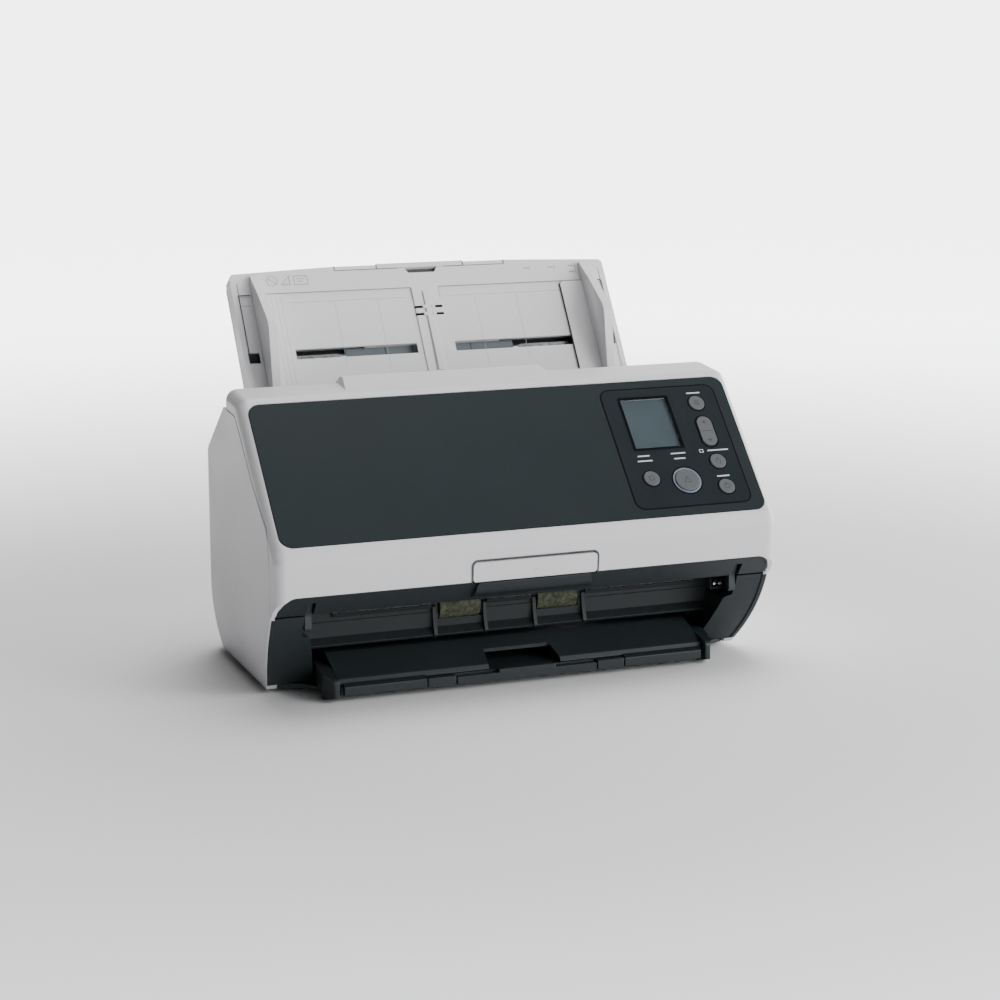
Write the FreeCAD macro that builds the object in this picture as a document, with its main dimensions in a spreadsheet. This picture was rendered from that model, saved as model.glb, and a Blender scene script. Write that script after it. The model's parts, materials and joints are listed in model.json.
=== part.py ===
"""Sheet fed document scanner: a parametric FreeCAD document, millimetres, +Z up.

X runs along the width, -Y is the operator's side and Z is the height above the desk.
The origin is on the desk, under the middle of the whole object.
"""

import FreeCAD
import Part
import math
import os

Vector = FreeCAD.Vector
SIDES = (("left", -1), ("right", 1))

# Driving dimensions: alias, value in millimetres or degrees.
DIMENSIONS = (
    ("half_width", 150.0),
    ("base_bottom", 3.0),
    ("base_front_y", -55.6),
    ("front_bulge", 2.5),
    ("seam_gap", 0.8),
    ("wall", 2.5),
    ("rear_face", 63.0),
    ("rear_corner_radius", 24.0),
    ("side_edge_radius", 6.5),
    ("taper_top", 45.0),
    ("foot_half_width", 144.0),
    ("fascia_foot_y", -96.0),
    ("fascia_foot_z", 92.3),
    ("fascia_angle", 45.4),
    ("fascia_length", 94.2),
    ("fascia_half_width", 145.0),
    ("fascia_corner", 7.0),
    ("panel_thickness", 2.0),
    ("front_face", -100.5),
    ("lip_y", -99.3),
    ("lip_z", 65.1),
    ("parting_y", -89.0),
    ("parting_z", 52.0),
    ("lid_rear_y", 2.0),
    ("lid_rear_z", 164.6),
    ("hinge_y", 7.0),
    ("hinge_z", 150.0),
    ("hinge_pin_radius", 2.5),
    ("running_gap", 0.05),
    ("shoulder_x", 122.2),
    ("frame_x", 120.2),
    ("frame_thickness", 1.5),
    ("guide_half_width", 119.8),
    ("lid_inner_half_width", 119.4),
    ("chute_y", 63.5),
    ("chute_z", 172.3),
    ("chute_angle", 55.6),
    ("chute_bottom", -48.0),
    ("chute_half_width", 121.5),
    ("chute_skin", 2.4),
    ("chute_depth", 12.0),
    ("slot_inner", 12.2),
    ("slot_outer", 100.0),
    ("slot_half_height", 3.3),
    ("fence_x", 104.5),
    ("fence_thickness", 5.0),
    ("guide_plate_inner", 89.5),
    ("pinion_radius", 7.0),
    ("rack_height", 3.0),
    ("tray_half_width", 110.6),
    ("roller_radius", 9.5),
    ("roller_inner_x", 17.7),
    ("roller_length", 24.4),
    ("shaft_radius", 3.0),
    ("eject_y", -49.6),
    ("eject_z", 41.2),
    ("board_thickness", 1.6),
    ("button_radius", 4.9),
    ("button_gap", 0.2),
    ("scan_button_radius", 7.3),
    ("scan_ring_radius", 8.7),
    ("tab_half_width", 37.0),
    ("tab_axis_y", -95.8),
    ("tab_axis_z", 74.5),
    ("foot_radius", 7.0),
    ("screw_radius", 1.5),
)

doc = FreeCAD.newDocument("document_scanner")
sheet = doc.addObject("Spreadsheet::Sheet", "dims")
for row, (alias, value) in enumerate(DIMENSIONS, start=1):
    sheet.set(f"A{row}", alias)
    sheet.set(f"B{row}", str(value))
    sheet.setAlias(f"B{row}", alias)
doc.recompute()

parts = []


def dim(alias):
    """The value of one driving dimension."""
    return float(getattr(sheet, alias))


def keep(item, label):
    """Name a finished sub-part and list it for export."""
    item.Label = label
    parts.append(item)
    return item


# ---------------------------------------------------------------- frames of reference

def slope_placement(y, z, angle, lift=0.0):
    """A frame at (0, y, z), turned about X, and lifted along its own normal."""
    turn = FreeCAD.Rotation(Vector(1, 0, 0), angle)
    return FreeCAD.Placement(Vector(0, y, z) + turn.multVec(Vector(0, 0, lift)), turn)


def fascia_frame(lift=0.0):
    """X along the width, Y up the slope from the panel's foot, Z out of the panel."""
    return slope_placement(dim("fascia_foot_y"), dim("fascia_foot_z"), dim("fascia_angle"), lift)


def chute_frame(lift=0.0):
    """X along the width, Y up the chute, Z out of the paper surface."""
    return slope_placement(dim("chute_y"), dim("chute_z"), dim("chute_angle"), lift)


def chute_point(along, out):
    """The (y, z) of a point given along the chute and out of its surface."""
    place = chute_frame().multVec(Vector(0, along, out))
    return place.y, place.z


# ---------------------------------------------------------------- solids from outlines

def corner_points(corners):
    """For each corner (u, v, radius): where its arc starts, its middle and where it ends."""
    found = []
    for index, (u, v, radius) in enumerate(corners):
        corner = Vector(u, v, 0)
        before = corners[index - 1]
        after = corners[(index + 1) % len(corners)]
        back = (Vector(before[0], before[1], 0) - corner).normalize()
        on = (Vector(after[0], after[1], 0) - corner).normalize()
        if radius <= 0:
            found.append((corner, None, corner))
            continue
        half = back.getAngle(on) / 2
        reach = radius / math.tan(half)
        middle = corner + (back + on).normalize() * (radius / math.sin(half) - radius)
        found.append((corner + back * reach, middle, corner + on * reach))
    return found


def outline_curves(corners):
    """Flat lines and arcs, in order, round a closed outline with rounded corners."""
    points = corner_points(corners)
    curves = []
    for index, (start, middle, finish) in enumerate(points):
        if middle is not None:
            curves.append(Part.Arc(start, middle, finish))
        following = points[(index + 1) % len(points)][0]
        if finish.distanceToPoint(following) > 1e-6:
            curves.append(Part.LineSegment(finish, following))
    return curves


def prism(axis, corners, low, high):
    """Extrude an outline: (y, z) along X, (x, z) along Y or (x, y) along Z."""
    wire = Part.Wire([curve.toShape() for curve in outline_curves(corners)])
    flat = Part.Face(wire)
    if axis == "X":
        matrix = FreeCAD.Matrix(0, 0, 1, low, 1, 0, 0, 0, 0, 1, 0, 0)
        along = Vector(high - low, 0, 0)
    elif axis == "Y":
        matrix = FreeCAD.Matrix(1, 0, 0, 0, 0, 0, -1, low, 0, 1, 0, 0)
        along = Vector(0, high - low, 0)
    else:
        matrix = FreeCAD.Matrix(1, 0, 0, 0, 0, 1, 0, 0, 0, 0, 1, low)
        along = Vector(0, 0, high - low)
    flat.Placement = FreeCAD.Placement(matrix)
    return flat.extrude(along)


def rectangle(u0, v0, u1, v1, radius=0.0):
    """Corners of an upright rectangle."""
    return [(u0, v0, radius), (u1, v0, radius), (u1, v1, radius), (u0, v1, radius)]


def block(x0, y0, z0, x1, y1, z1):
    """A box between two corners."""
    return Part.makeBox(x1 - x0, y1 - y0, z1 - z0, Vector(x0, y0, z0))


def rod(start, finish, radius):
    """A round bar between two points."""
    along = finish - start
    return Part.makeCylinder(radius, along.Length, start, along)


def fuse(shapes):
    """One solid from several that meet."""
    whole = shapes[0].multiFuse(shapes[1:]) if len(shapes) > 1 else shapes[0]
    return whole.removeSplitter()


def add_shape(label, shape, placement=None):
    """A sub-part whose curved or split shape is made by Part's own functions."""
    item = doc.addObject("Part::Feature", label)
    item.Shape = shape
    item.Placement = placement or FreeCAD.Placement()
    return keep(item, label)


# ---------------------------------------------------------------- bodies from sketches

def origin_plane(body, role):
    """One of a body's own origin planes."""
    return next(item for item in body.Origin.OriginFeatures if item.Role == role)


def add_sketch(body, corners=(), circles=(), name="outline"):
    """A sketch on the body's XY plane, with a rounded outline and round holes."""
    sketch = body.newObject("Sketcher::SketchObject", name)
    sketch.AttachmentSupport = [(origin_plane(body, "XY_Plane"), "")]
    sketch.MapMode = "FlatFace"
    for curve in outline_curves(corners) if corners else ():
        sketch.addGeometry(curve, False)
    for x, y, radius in circles:
        sketch.addGeometry(Part.Circle(Vector(x, y, 0), Vector(0, 0, 1), radius), False)
    return sketch


def add_pad(body, sketch, length, offset=0.0):
    """Pad a sketch by a length, which may be an expression on the sheet."""
    sketch.AttachmentOffset = FreeCAD.Placement(Vector(0, 0, offset), FreeCAD.Rotation())
    pad = body.newObject("PartDesign::Pad", "pad")
    pad.Profile = sketch
    bind_length(pad, length)
    return pad


def bind_length(feature, length):
    """Set a feature's length from a number or bind it to the sheet."""
    if isinstance(length, str):
        feature.setExpression("Length", length)
    else:
        feature.Length = length


def add_pocket(body, sketch, length, offset=0.0):
    """Cut a sketch downwards from its height, and check that it took material away."""
    sketch.AttachmentOffset = FreeCAD.Placement(Vector(0, 0, offset), FreeCAD.Rotation())
    doc.recompute()
    before = body.Shape.Volume
    pocket = body.newObject("PartDesign::Pocket", "pocket")
    pocket.Profile = sketch
    bind_length(pocket, length)
    doc.recompute()
    if body.Shape.Volume > before - 1e-3:
        raise RuntimeError(f"a pocket of {body.Label} cut nothing")
    return pocket


def new_body(label, placement=None):
    """An empty PartDesign body, placed in the object's frame."""
    body = doc.addObject("PartDesign::Body", label)
    body.Placement = placement or FreeCAD.Placement()
    return keep(body, label)


def add_cylinder(name, radius, length, placement):
    """A Part cylinder whose radius and height are numbers or expressions."""
    item = doc.addObject("Part::Cylinder", name)
    for prop, value in (("Radius", radius), ("Height", length)):
        if isinstance(value, str):
            item.setExpression(prop, value)
        else:
            setattr(item, prop, value)
    item.Placement = placement
    return item


def along_x(x, y, z):
    """A placement that lays a cylinder along +X from a point."""
    return FreeCAD.Placement(Vector(x, y, z), FreeCAD.Rotation(Vector(0, 1, 0), 90))


def add_fusion(label, items):
    """One Part fusion of primitives."""
    item = doc.addObject("Part::MultiFuse", label)
    item.Shapes = items
    item.Refine = True
    return keep(item, label)


def add_group(label, items):
    """Identical loose pieces kept together in one sub-part."""
    item = doc.addObject("Part::Compound", label)
    item.Links = items
    return keep(item, label)


# ---------------------------------------------------------------- outer form

HALF = dim("half_width")
WALL = dim("wall")
FLOOR = dim("base_bottom")
SHOULDER = dim("shoulder_x")
SEAM_GAP = dim("seam_gap")
FAR = 400.0

FASCIA_RUN = math.tan(math.radians(dim("fascia_angle")))


def fascia_height(y, inset=0.0):
    """Height of the sloping front at a given y, or of a plane that lies inset below it."""
    drop = inset / math.cos(math.radians(dim("fascia_angle")))
    return dim("fascia_foot_z") + (y - dim("fascia_foot_y")) * FASCIA_RUN - drop


ROOF_FALL = math.tan(math.radians(37.7))
ROOF_TOP = 154.3
LID_LIP = (dim("lip_y"), dim("lip_z"))
PARTING = (dim("parting_y"), dim("parting_z"))


def roof_height(y, inset=0.0):
    """Height of the roof that falls from the lid's rear edge to the rear face."""
    drop = inset / math.cos(math.atan(ROOF_FALL))
    return ROOF_TOP - (y - dim("lid_rear_y")) * ROOF_FALL - drop


# The line where lid and side panel meet, from the rear down to the mouth (y, z, radius).
SEAM = (
    (dim("lid_rear_y"), ROOF_TOP, 0),
    (-23.0, 152.6, 6),
    (-56.5, 121.0, 30),
    (-84.5, 99.5, 14),
    (-90.2, 77.0, 30),
    (-87.3, 58.2, 3),
    (dim("parting_y"), dim("parting_z"), 0),
)


def lid_zone(gap=0.0):
    """Everything in front of and above the seam, shifted back and down by a gap."""
    seam = [(y + gap, z - gap, r) for y, z, r in SEAM]
    beyond = [(-FAR, seam[-1][1], 0), (-FAR, FAR, 0), (seam[0][0], FAR, 0)]
    return prism("X", seam + beyond, -FAR, FAR)


def tapered_front(inset=0.0):
    """Front view of the whole case: upright sides that draw in towards the desk."""
    top = dim("taper_top")
    drop, draw = top - FLOOR, HALF - dim("foot_half_width")
    radius = (drop ** 2 + draw ** 2) / (2 * draw)
    angle = math.asin(drop / radius)
    right = []
    for share in (0.0, 0.5, 1.0):
        x = HALF - radius + (radius - inset) * math.cos(angle * share)
        right.append(Vector(x, 0, top - (radius - inset) * math.sin(angle * share)))
    right.append(right[2] + (right[2] - right[1]).normalize() * 40.0)
    left = [Vector(-point.x, 0, point.z) for point in right]
    ceiling = [Vector(side.x, 0, FAR) for side in (right[0], left[0])]
    edges = [
        Part.LineSegment(ceiling[0], right[0]),
        Part.Arc(right[0], right[1], right[2]),
        Part.LineSegment(right[2], right[3]),
        Part.LineSegment(right[3], left[3]),
        Part.LineSegment(left[3], left[2]),
        Part.Arc(left[2], left[1], left[0]),
        Part.LineSegment(left[0], ceiling[1]),
        Part.LineSegment(ceiling[1], ceiling[0]),
    ]
    face = Part.Face(Part.Wire([edge.toShape() for edge in edges]))
    face.translate(Vector(0, -FAR, 0))
    return face.extrude(Vector(0, 2 * FAR, 0))


def edges_where(shape, test):
    """Edges whose centre of mass passes a test."""
    return [edge for edge in shape.Edges if test(edge.CenterOfMass, edge)]


def lid_profile(inset=0.0, under_fascia=0.0):
    """Side view of the lid: front strip, slope and ledge, closed low inside the case."""
    front = dim("front_face") + inset
    ledge_z = dim("lid_rear_z") - inset
    ledge_rise = 0.08
    rear = dim("lid_rear_y") - inset
    slope_inset = max(inset, under_fascia)
    top_y = -27.0 + 0.6 * slope_inset
    return [
        (front + 1.2, 30.0, 0),
        (front + 1.2, dim("lip_z"), 8),
        (front, fascia_height(front, slope_inset) - 3.0, 6),
        (front + 3.2, fascia_height(front + 3.2, slope_inset), 5),
        (top_y, ledge_z - (rear - top_y) * ledge_rise, max(4.5 - inset, 1)),
        (rear, ledge_z, max(4.0 - inset, 1)),
        (rear, 30.0, 0),
    ]


def lid_hull(inset=0.0, under_fascia=0.0):
    """The lid's outer form with its long side edges rounded."""
    width = HALF - inset
    solid = prism("X", lid_profile(inset, under_fascia), -width, width)
    radius = dim("side_edge_radius") - min(inset, 2.5)
    limit = width - 1e-3
    rims = edges_where(
        solid,
        lambda c, e: abs(c.x) > limit and c.z > 36 and c.y < dim("lid_rear_y") - inset - 0.01,
    )
    solid = solid.makeFillet(radius, rims)
    return solid.common(tapered_front(inset))


def base_hull(inset=0.0):
    """The base's outer form: upright rear with rounded corners, roof and tapered sides."""
    rear = dim("rear_face") - inset
    low = FLOOR + inset if inset else FLOOR
    corners = [
        (-130.0, low, 0),
        (rear, low, 0),
        (rear, roof_height(rear, inset), 0),
        (dim("lid_rear_y"), roof_height(dim("lid_rear_y"), inset), 0),
        (dim("lid_rear_y"), 175.0, 0),
        (-130.0, 175.0, 0),
    ]
    solid = prism("X", corners, -HALF - 5, HALF + 5).common(tapered_front(inset))
    uprights = edges_where(
        solid,
        lambda c, e: abs(c.y - rear) < 0.01 and abs(c.x) > 120 and e.BoundBox.ZLength > 10,
    )
    return solid.makeFillet(dim("rear_corner_radius") - inset, uprights)


def behind_front(offset=0.0):
    """Everything behind the base's front, which bulges a little and leans out to the mouth."""
    foot = Vector(dim("base_front_y") + offset, FLOOR, 0)
    top = Vector(PARTING[0] + offset, PARTING[1], 0)
    chord = top - foot
    outwards = Vector(-chord.y, chord.x, 0).normalize()
    crown = (foot + top) * 0.5 + outwards * 2 * dim("front_bulge")
    half_angle = math.atan(chord.Length / 2 / (2 * dim("front_bulge")))
    radius = chord.Length / 2 * 0.96 * math.tan(half_angle)
    return prism("X", [
        (foot.x, -20, 0), (foot.x, foot.y, 0), (crown.x, crown.y, radius), (top.x, top.y, 0),
        (top.x, 200, 0), (200, 200, 0), (200, -20, 0),
    ], -FAR, FAR)


LID_OUTER = lid_hull()
LID_INNER = lid_hull(WALL, 4.4)
BASE_OUTER = base_hull()
BASE_INNER = base_hull(WALL)


# ---------------------------------------------------------------- lid

def fascia_block(inset, low, high):
    """A slab of the fascia's outline between two heights over the slope."""
    side = dim("fascia_half_width") - inset
    corners = rectangle(-side, inset, side, dim("fascia_length") - inset,
                        max(dim("fascia_corner") - inset, 1))
    slab = prism("Z", corners, low, high)
    slab.Placement = fascia_frame()
    return slab


MOUTH_TOP_HALF = 144.8
MOUTH_FOOT_HALF = 148.2
MOUTH_CORNER = 9.0
APRON_TIP_Y = 30.0
APRON_LIFT = 10.3
FASCIA_GAP = 0.45
FASCIA_LEDGE = 5.0
TAB_HEIGHT = 11.2


def apron_height(y, inset=0.0):
    """Height of the lid's rear apron, parallel to the roof."""
    return roof_height(y, inset) + APRON_LIFT


def mouth_front(inset=0.0):
    """Front view of the lid's mouth, a little wider at its foot, taken as a long prism."""
    top, foot = MOUTH_TOP_HALF - inset, MOUTH_FOOT_HALF - inset
    height = LID_LIP[1] - inset
    return prism("Y", [
        (-foot, PARTING[1], 0), (-foot - 0.4, 30, 0), (foot + 0.4, 30, 0), (foot, PARTING[1], 0),
        (top, height, MOUTH_CORNER), (-top, height, MOUTH_CORNER),
    ], -130, -60)


def hinge_ears():
    """The two ears under the apron that turn on the hinge pins."""
    reach = 5.5
    y, z = dim("hinge_y"), dim("hinge_z")
    ears = []
    for name, sign in SIDES:
        ear = prism("X", [
            (y - reach, z - reach, 5), (y + reach, z - reach, 5),
            (y + reach, apron_height(y + reach, 1.0), 0),
            (y - reach, apron_height(y - reach, 2.0) - 3, 0),
        ], sign * 112.0, sign * 118.0)
        bore = rod(Vector(sign * 105, y, z), Vector(sign * 119, y, z),
                   dim("hinge_pin_radius") + dim("running_gap"))
        ears.append(ear.cut(bore))
    return ears


def make_lid_shell():
    """Outer casing of the hinged lid, with the rear apron and its two hinge ears."""
    shell = LID_OUTER.cut(LID_INNER).common(lid_zone())
    rear = dim("lid_rear_y")
    side = dim("lid_inner_half_width")
    behind_ledge = block(-side, rear - WALL - 1, 100, side, rear + 1, apron_height(rear, WALL))
    shell = shell.cut(behind_ledge)
    apron = prism("X", [
        (rear - 2.0, apron_height(rear) - 0.6, 0),
        (APRON_TIP_Y, apron_height(APRON_TIP_Y), 1),
        (APRON_TIP_Y - 1.5, apron_height(APRON_TIP_Y, WALL) - 1.0, 1),
        (rear - 2.0, apron_height(rear, WALL) + 1.0, 0),
    ], -side, side)
    ledge_bump = prism("Y", [
        (-86.5, 160.0, 0), (-81.0, 167.6, 1.5), (41.0, 167.6, 1.5), (46.5, 160.0, 0),
    ], -22.0, rear)
    wedge = prism("X", [
        (-22.0, 160.0, 0), (-22.0, 162.2, 0), (rear - 3.0, 168.2, 0), (rear, 168.2, 0),
        (rear, 160.0, 0),
    ], -90, 60)
    shell = fuse([shell, apron, ledge_bump.common(wedge)] + hinge_ears())
    shell = shell.cut(fascia_block(-FASCIA_GAP, -dim("panel_thickness") - 0.1, 30))
    shell = shell.cut(fascia_block(FASCIA_LEDGE, -30, 30))
    chin = prism("X", [
        (-130, 30, 0), (PARTING[0], 30, 0), (PARTING[0], PARTING[1] - 0.5, 0),
        (LID_LIP[0] - 1.6, LID_LIP[1] - 0.2, 0), (-130, LID_LIP[1] - 0.2, 0),
    ], -FAR, FAR)
    side = dim("tab_half_width") + 0.4
    tab_top = LID_LIP[1] + TAB_HEIGHT + 0.8
    tab_window = prism("Y", [
        (-side, 50, 0), (side, 50, 0), (side, tab_top, 3), (-side, tab_top, 3),
    ], -130, -92)
    return shell.cut(mouth_front()).cut(chin).cut(tab_window)


add_shape("lid_shell", make_lid_shell())


CONTROL = (65.0, 5.6, 138.1, 89.0)
CONTROL_CORNER = 6.0
DISPLAY = (76.6, 46.9, 105.8, 81.5)
SCAN_BUTTON = (101.6, 23.2)
ROUND_BUTTONS = {
    "menu_button": (124.3, 76.0),
    "feed_button": (124.8, 34.5),
    "power_button": (124.8, 17.0),
    "stop_button": (80.0, 26.0),
}
ROCKER = (124.5, 55.7)
ROCKER_SIZE = (9.6, 21.0)
ROCKER_PIVOT = -4.3
ROCKER_PIVOT_REACH = 4.2


def make_fascia_panel():
    """Dark sloping panel with an opening for the control bezel."""
    body = new_body("fascia_panel", fascia_frame(-dim("panel_thickness")))
    side = dim("fascia_half_width")
    outline = add_sketch(body, rectangle(-side, 0, side, dim("fascia_length"), dim("fascia_corner")))
    add_pad(body, outline, "dims.panel_thickness")
    opening = add_sketch(body, rectangle(*CONTROL, CONTROL_CORNER), name="control_opening")
    add_pocket(body, opening, "dims.panel_thickness", dim("panel_thickness"))


def make_control_bezel():
    """Separate dark bezel that carries the display and the keys."""
    body = new_body("control_bezel", fascia_frame(-dim("panel_thickness")))
    gap = 0.3
    outline = add_sketch(body, rectangle(CONTROL[0] + gap, CONTROL[1] + gap, CONTROL[2] - gap,
                                         CONTROL[3] - gap, CONTROL_CORNER - gap))
    add_pad(body, outline, "dims.panel_thickness")
    window = add_sketch(body, rectangle(*DISPLAY, 0.8), name="display_opening")
    add_pocket(body, window, "dims.panel_thickness", dim("panel_thickness"))
    gap = dim("button_gap")
    circles = [(x, y, dim("button_radius") + gap) for x, y in ROUND_BUTTONS.values()]
    circles.append((SCAN_BUTTON[0], SCAN_BUTTON[1], dim("scan_ring_radius")))
    holes = add_sketch(body, circles=circles, name="key_holes")
    add_pocket(body, holes, "dims.panel_thickness", dim("panel_thickness"))
    half, tall = ROCKER_SIZE[0] / 2 + gap, ROCKER_SIZE[1] / 2 + gap
    capsule = rectangle(ROCKER[0] - half, ROCKER[1] - tall, ROCKER[0] + half, ROCKER[1] + tall,
                        half - 0.01)
    slot = add_sketch(body, capsule, name="rocker_opening")
    add_pocket(body, slot, "dims.panel_thickness", dim("panel_thickness"))


def make_display():
    """Clear window set into the bezel, and the display module behind it."""
    thickness = 1.0
    body = new_body("display_window", fascia_frame(-0.4 - thickness))
    add_pad(body, add_sketch(body, rectangle(DISPLAY[0] + 0.1, DISPLAY[1] + 0.1, DISPLAY[2] - 0.1,
                                             DISPLAY[3] - 0.1, 0.7)), thickness)
    depth = 3.0
    body = new_body("display_module", fascia_frame(-dim("panel_thickness") - 0.2 - depth))
    add_pad(body, add_sketch(body, rectangle(DISPLAY[0] - 3, DISPLAY[1] - 5, DISPLAY[2] + 3,
                                             DISPLAY[3] + 3, 0.5)), depth)


BOARD_DROP = 7.4


def make_control_board():
    """Printed board under the keys."""
    body = new_body("control_board", fascia_frame(-BOARD_DROP - dim("board_thickness")))
    outline = add_sketch(body, rectangle(CONTROL[0] + 4, CONTROL[1] + 5, CONTROL[2] - 4,
                                         CONTROL[3] - 4, 2))
    add_pad(body, outline, "dims.board_thickness")
    holes = [(CONTROL[0] + 8, y, 1.6) for y in (14.0, 80.0)] + [(CONTROL[2] - 8, 46.0, 1.6)]
    add_pocket(body, add_sketch(body, circles=holes, name="screw_holes"), "dims.board_thickness",
               dim("board_thickness"))


def make_round_key(label, centre, radius, proud=0.7):
    """A round push key: a flange below the bezel keeps it in."""
    body = new_body(label, fascia_frame())
    x, y = centre
    flange_top = -dim("panel_thickness") - 0.1
    stem = add_sketch(body, circles=[(x, y, radius)], name="cap")
    add_pad(body, stem, proud - flange_top + 0.8, offset=flange_top - 0.8)
    flange = add_sketch(body, circles=[(x, y, radius + 1.0)], name="flange")
    add_pad(body, flange, 0.8, offset=flange_top - 0.8)
    post = add_sketch(body, circles=[(x, y, 2.0)], name="post")
    add_pad(body, post, 3.2, offset=flange_top - 0.8 - 3.2)
    doc.recompute()
    solid = body.Tip
    edge = next(
        f"Edge{n}" for n, e in enumerate(solid.Shape.Edges, 1)
        if abs(e.CenterOfMass.z - proud) < 1e-3 and abs(e.BoundBox.XLength - 2 * radius) < 1e-2
    )
    round_over = body.newObject("PartDesign::Fillet", "crown")
    round_over.Base = (solid, [edge])
    round_over.Radius = 0.5
    return body


def make_keys():
    """All keys of the control panel and the light ring round the scan key."""
    for label, centre in ROUND_BUTTONS.items():
        make_round_key(label, centre, dim("button_radius"))
    make_round_key("scan_button", SCAN_BUTTON, dim("scan_button_radius"))
    body = new_body("scan_light_ring", fascia_frame(-dim("panel_thickness")))
    ring = add_sketch(body, circles=[(*SCAN_BUTTON, dim("scan_ring_radius") - 0.05),
                                     (*SCAN_BUTTON, dim("scan_button_radius") + 0.15)])
    add_pad(body, ring, "dims.panel_thickness")
    body = new_body("rocker_key", fascia_frame())
    half, tall = ROCKER_SIZE[0] / 2 - 0.2, ROCKER_SIZE[1] / 2 - 0.3
    capsule = rectangle(ROCKER[0] - half, ROCKER[1] - tall, ROCKER[0] + half, ROCKER[1] + tall,
                        half - 0.01)
    add_pad(body, add_sketch(body, capsule, name="cap"), 2.9, offset=-2.2)
    neck = rectangle(ROCKER[0] - 2.5, ROCKER[1] - 2.0, ROCKER[0] + 2.5, ROCKER[1] + 2.0)
    add_pad(body, add_sketch(body, neck, name="pivot_neck"), 4.2, offset=-2.2 - 4.2)
    pivot = body.newObject("Sketcher::SketchObject", "pivot_pin")
    pivot.AttachmentSupport = [(origin_plane(body, "YZ_Plane"), "")]
    pivot.MapMode = "FlatFace"
    pivot.AttachmentOffset = FreeCAD.Placement(Vector(0, 0, ROCKER[0] - ROCKER_PIVOT_REACH),
                                               FreeCAD.Rotation())
    pivot.addGeometry(Part.Circle(Vector(ROCKER[1], ROCKER_PIVOT, 0), Vector(0, 0, 1), 1.3), False)
    pin = body.newObject("PartDesign::Pad", "pivot_pad")
    pin.Profile = pivot
    pin.Length = 2 * ROCKER_PIVOT_REACH


make_fascia_panel()
make_control_bezel()
make_display()
make_control_board()
make_keys()


# ---------------------------------------------------------------- paper path

PATH_BEND = (-9.4, 65.9)
PATH_EXIT = (-55.2, 49.2)
PATH_RADIUS = 124.6


def path_corners(offset):
    """The paper's path moved out by an offset: straight, one long bend, then the exit run."""
    top = Vector(*chute_point(-49.0, 0), 0)
    bend = Vector(*PATH_BEND, 0)
    leave = Vector(*PATH_EXIT, 0)
    upper = (top - bend).normalize()
    lower = (leave - bend).normalize()
    upper_side = Vector(-upper.y, upper.x, 0) * offset
    lower_side = Vector(lower.y, -lower.x, 0) * offset
    half = upper.getAngle(lower) / 2
    turn = bend + (upper + lower).normalize() * (-offset / math.sin(half)) * -1
    return [
        (top.x + upper_side.x, top.y + upper_side.y, 0),
        (turn.x, turn.y, PATH_RADIUS - offset),
        (leave.x + lower_side.x, leave.y + lower_side.y, 0),
    ]


SHEET_GAP = 1.1
SCAN_HALF = 112.0
SCAN_TURN = 44.3
SCAN_DEPTH = 13.0
ROLLER_X = (dim("roller_inner_x"), dim("roller_inner_x") + dim("roller_length"))
FEED_ALONG = -92.0
PICK_ALONG = -66.0


def roller_windows(y, z, radius, clear=1.2):
    """Spaces round the two rubber rollers of one shaft, cut from a guide."""
    rooms = []
    for name, sign in SIDES:
        rooms.append(rod(Vector(sign * (ROLLER_X[0] - clear), y, z),
                         Vector(sign * (ROLLER_X[1] + clear), y, z), radius + clear))
    return rooms


ROLLER = dim("roller_radius")
FEED = chute_point(FEED_ALONG, -ROLLER)
PICK = chute_point(PICK_ALONG, -ROLLER)
BRAKE_RADIUS = 8.0
BRAKE = chute_point(PICK_ALONG, BRAKE_RADIUS + 0.3)
EJECT = (dim("eject_y"), dim("eject_z"))
SMALL_ROLLER = 6.0
FEED_IDLER = chute_point(FEED_ALONG, SMALL_ROLLER + 0.3)
IDLER_SHAFT = 1.5
EJECT_OUT = math.radians(20.0)
EJECT_IDLER = (
    EJECT[0] - (ROLLER + SMALL_ROLLER + 0.3) * math.sin(EJECT_OUT),
    EJECT[1] + (ROLLER + SMALL_ROLLER + 0.3) * math.cos(EJECT_OUT),
)


def path_plate(near, far, low_x, high_x):
    """A plate that follows the paper path between two offsets."""
    lower = path_corners(near)
    upper = path_corners(far)
    return prism("X", lower + upper[::-1], low_x, high_x)


def make_lower_guide():
    """Dark lower paper guide with roller windows, scan window and stiffening ribs."""
    side = dim("guide_half_width")
    plate = path_plate(-SHEET_GAP - 2.5, -SHEET_GAP, -side, side)
    ribs = []
    for x in (-96, -62, 62, 96):
        ribs.append(path_plate(-SHEET_GAP - 7.0, -SHEET_GAP - 1.0, x - 1, x + 1))
    guide = fuse([plate] + ribs)
    for y, z in (FEED, PICK, EJECT):
        for room in roller_windows(y, z, ROLLER):
            guide = guide.cut(room)
        shaft_room = rod(Vector(-side - 1, y, z), Vector(side + 1, y, z), dim("shaft_radius") + 1)
        guide = guide.cut(shaft_room)
    return guide.cut(scan_slab(SCAN_HALF + 0.4, 9.4, -20, -0.2))


def scan_place():
    """The point of the paper path that the two scanning units face."""
    straight = Vector(*chute_point(-49.0, 0), 0)
    bend = Vector(*PATH_BEND, 0)
    leave = Vector(*PATH_EXIT, 0)
    upper = (straight - bend).normalize()
    lower = (leave - bend).normalize()
    half = upper.getAngle(lower) / 2
    centre = bend + (upper + lower).normalize() * (PATH_RADIUS / math.sin(half))
    turn = math.radians(SCAN_TURN)
    return centre.x + PATH_RADIUS * math.sin(turn), centre.y - PATH_RADIUS * math.cos(turn)


SCAN_Y, SCAN_Z = scan_place()


def scan_slab(half_x, half_y, low, high):
    """A flat block across the path at the scan line, between two heights over the path."""
    slab = block(-half_x, -half_y, low, half_x, half_y, high)
    slab.Placement = slope_placement(SCAN_Y, SCAN_Z, SCAN_TURN)
    return slab


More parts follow.
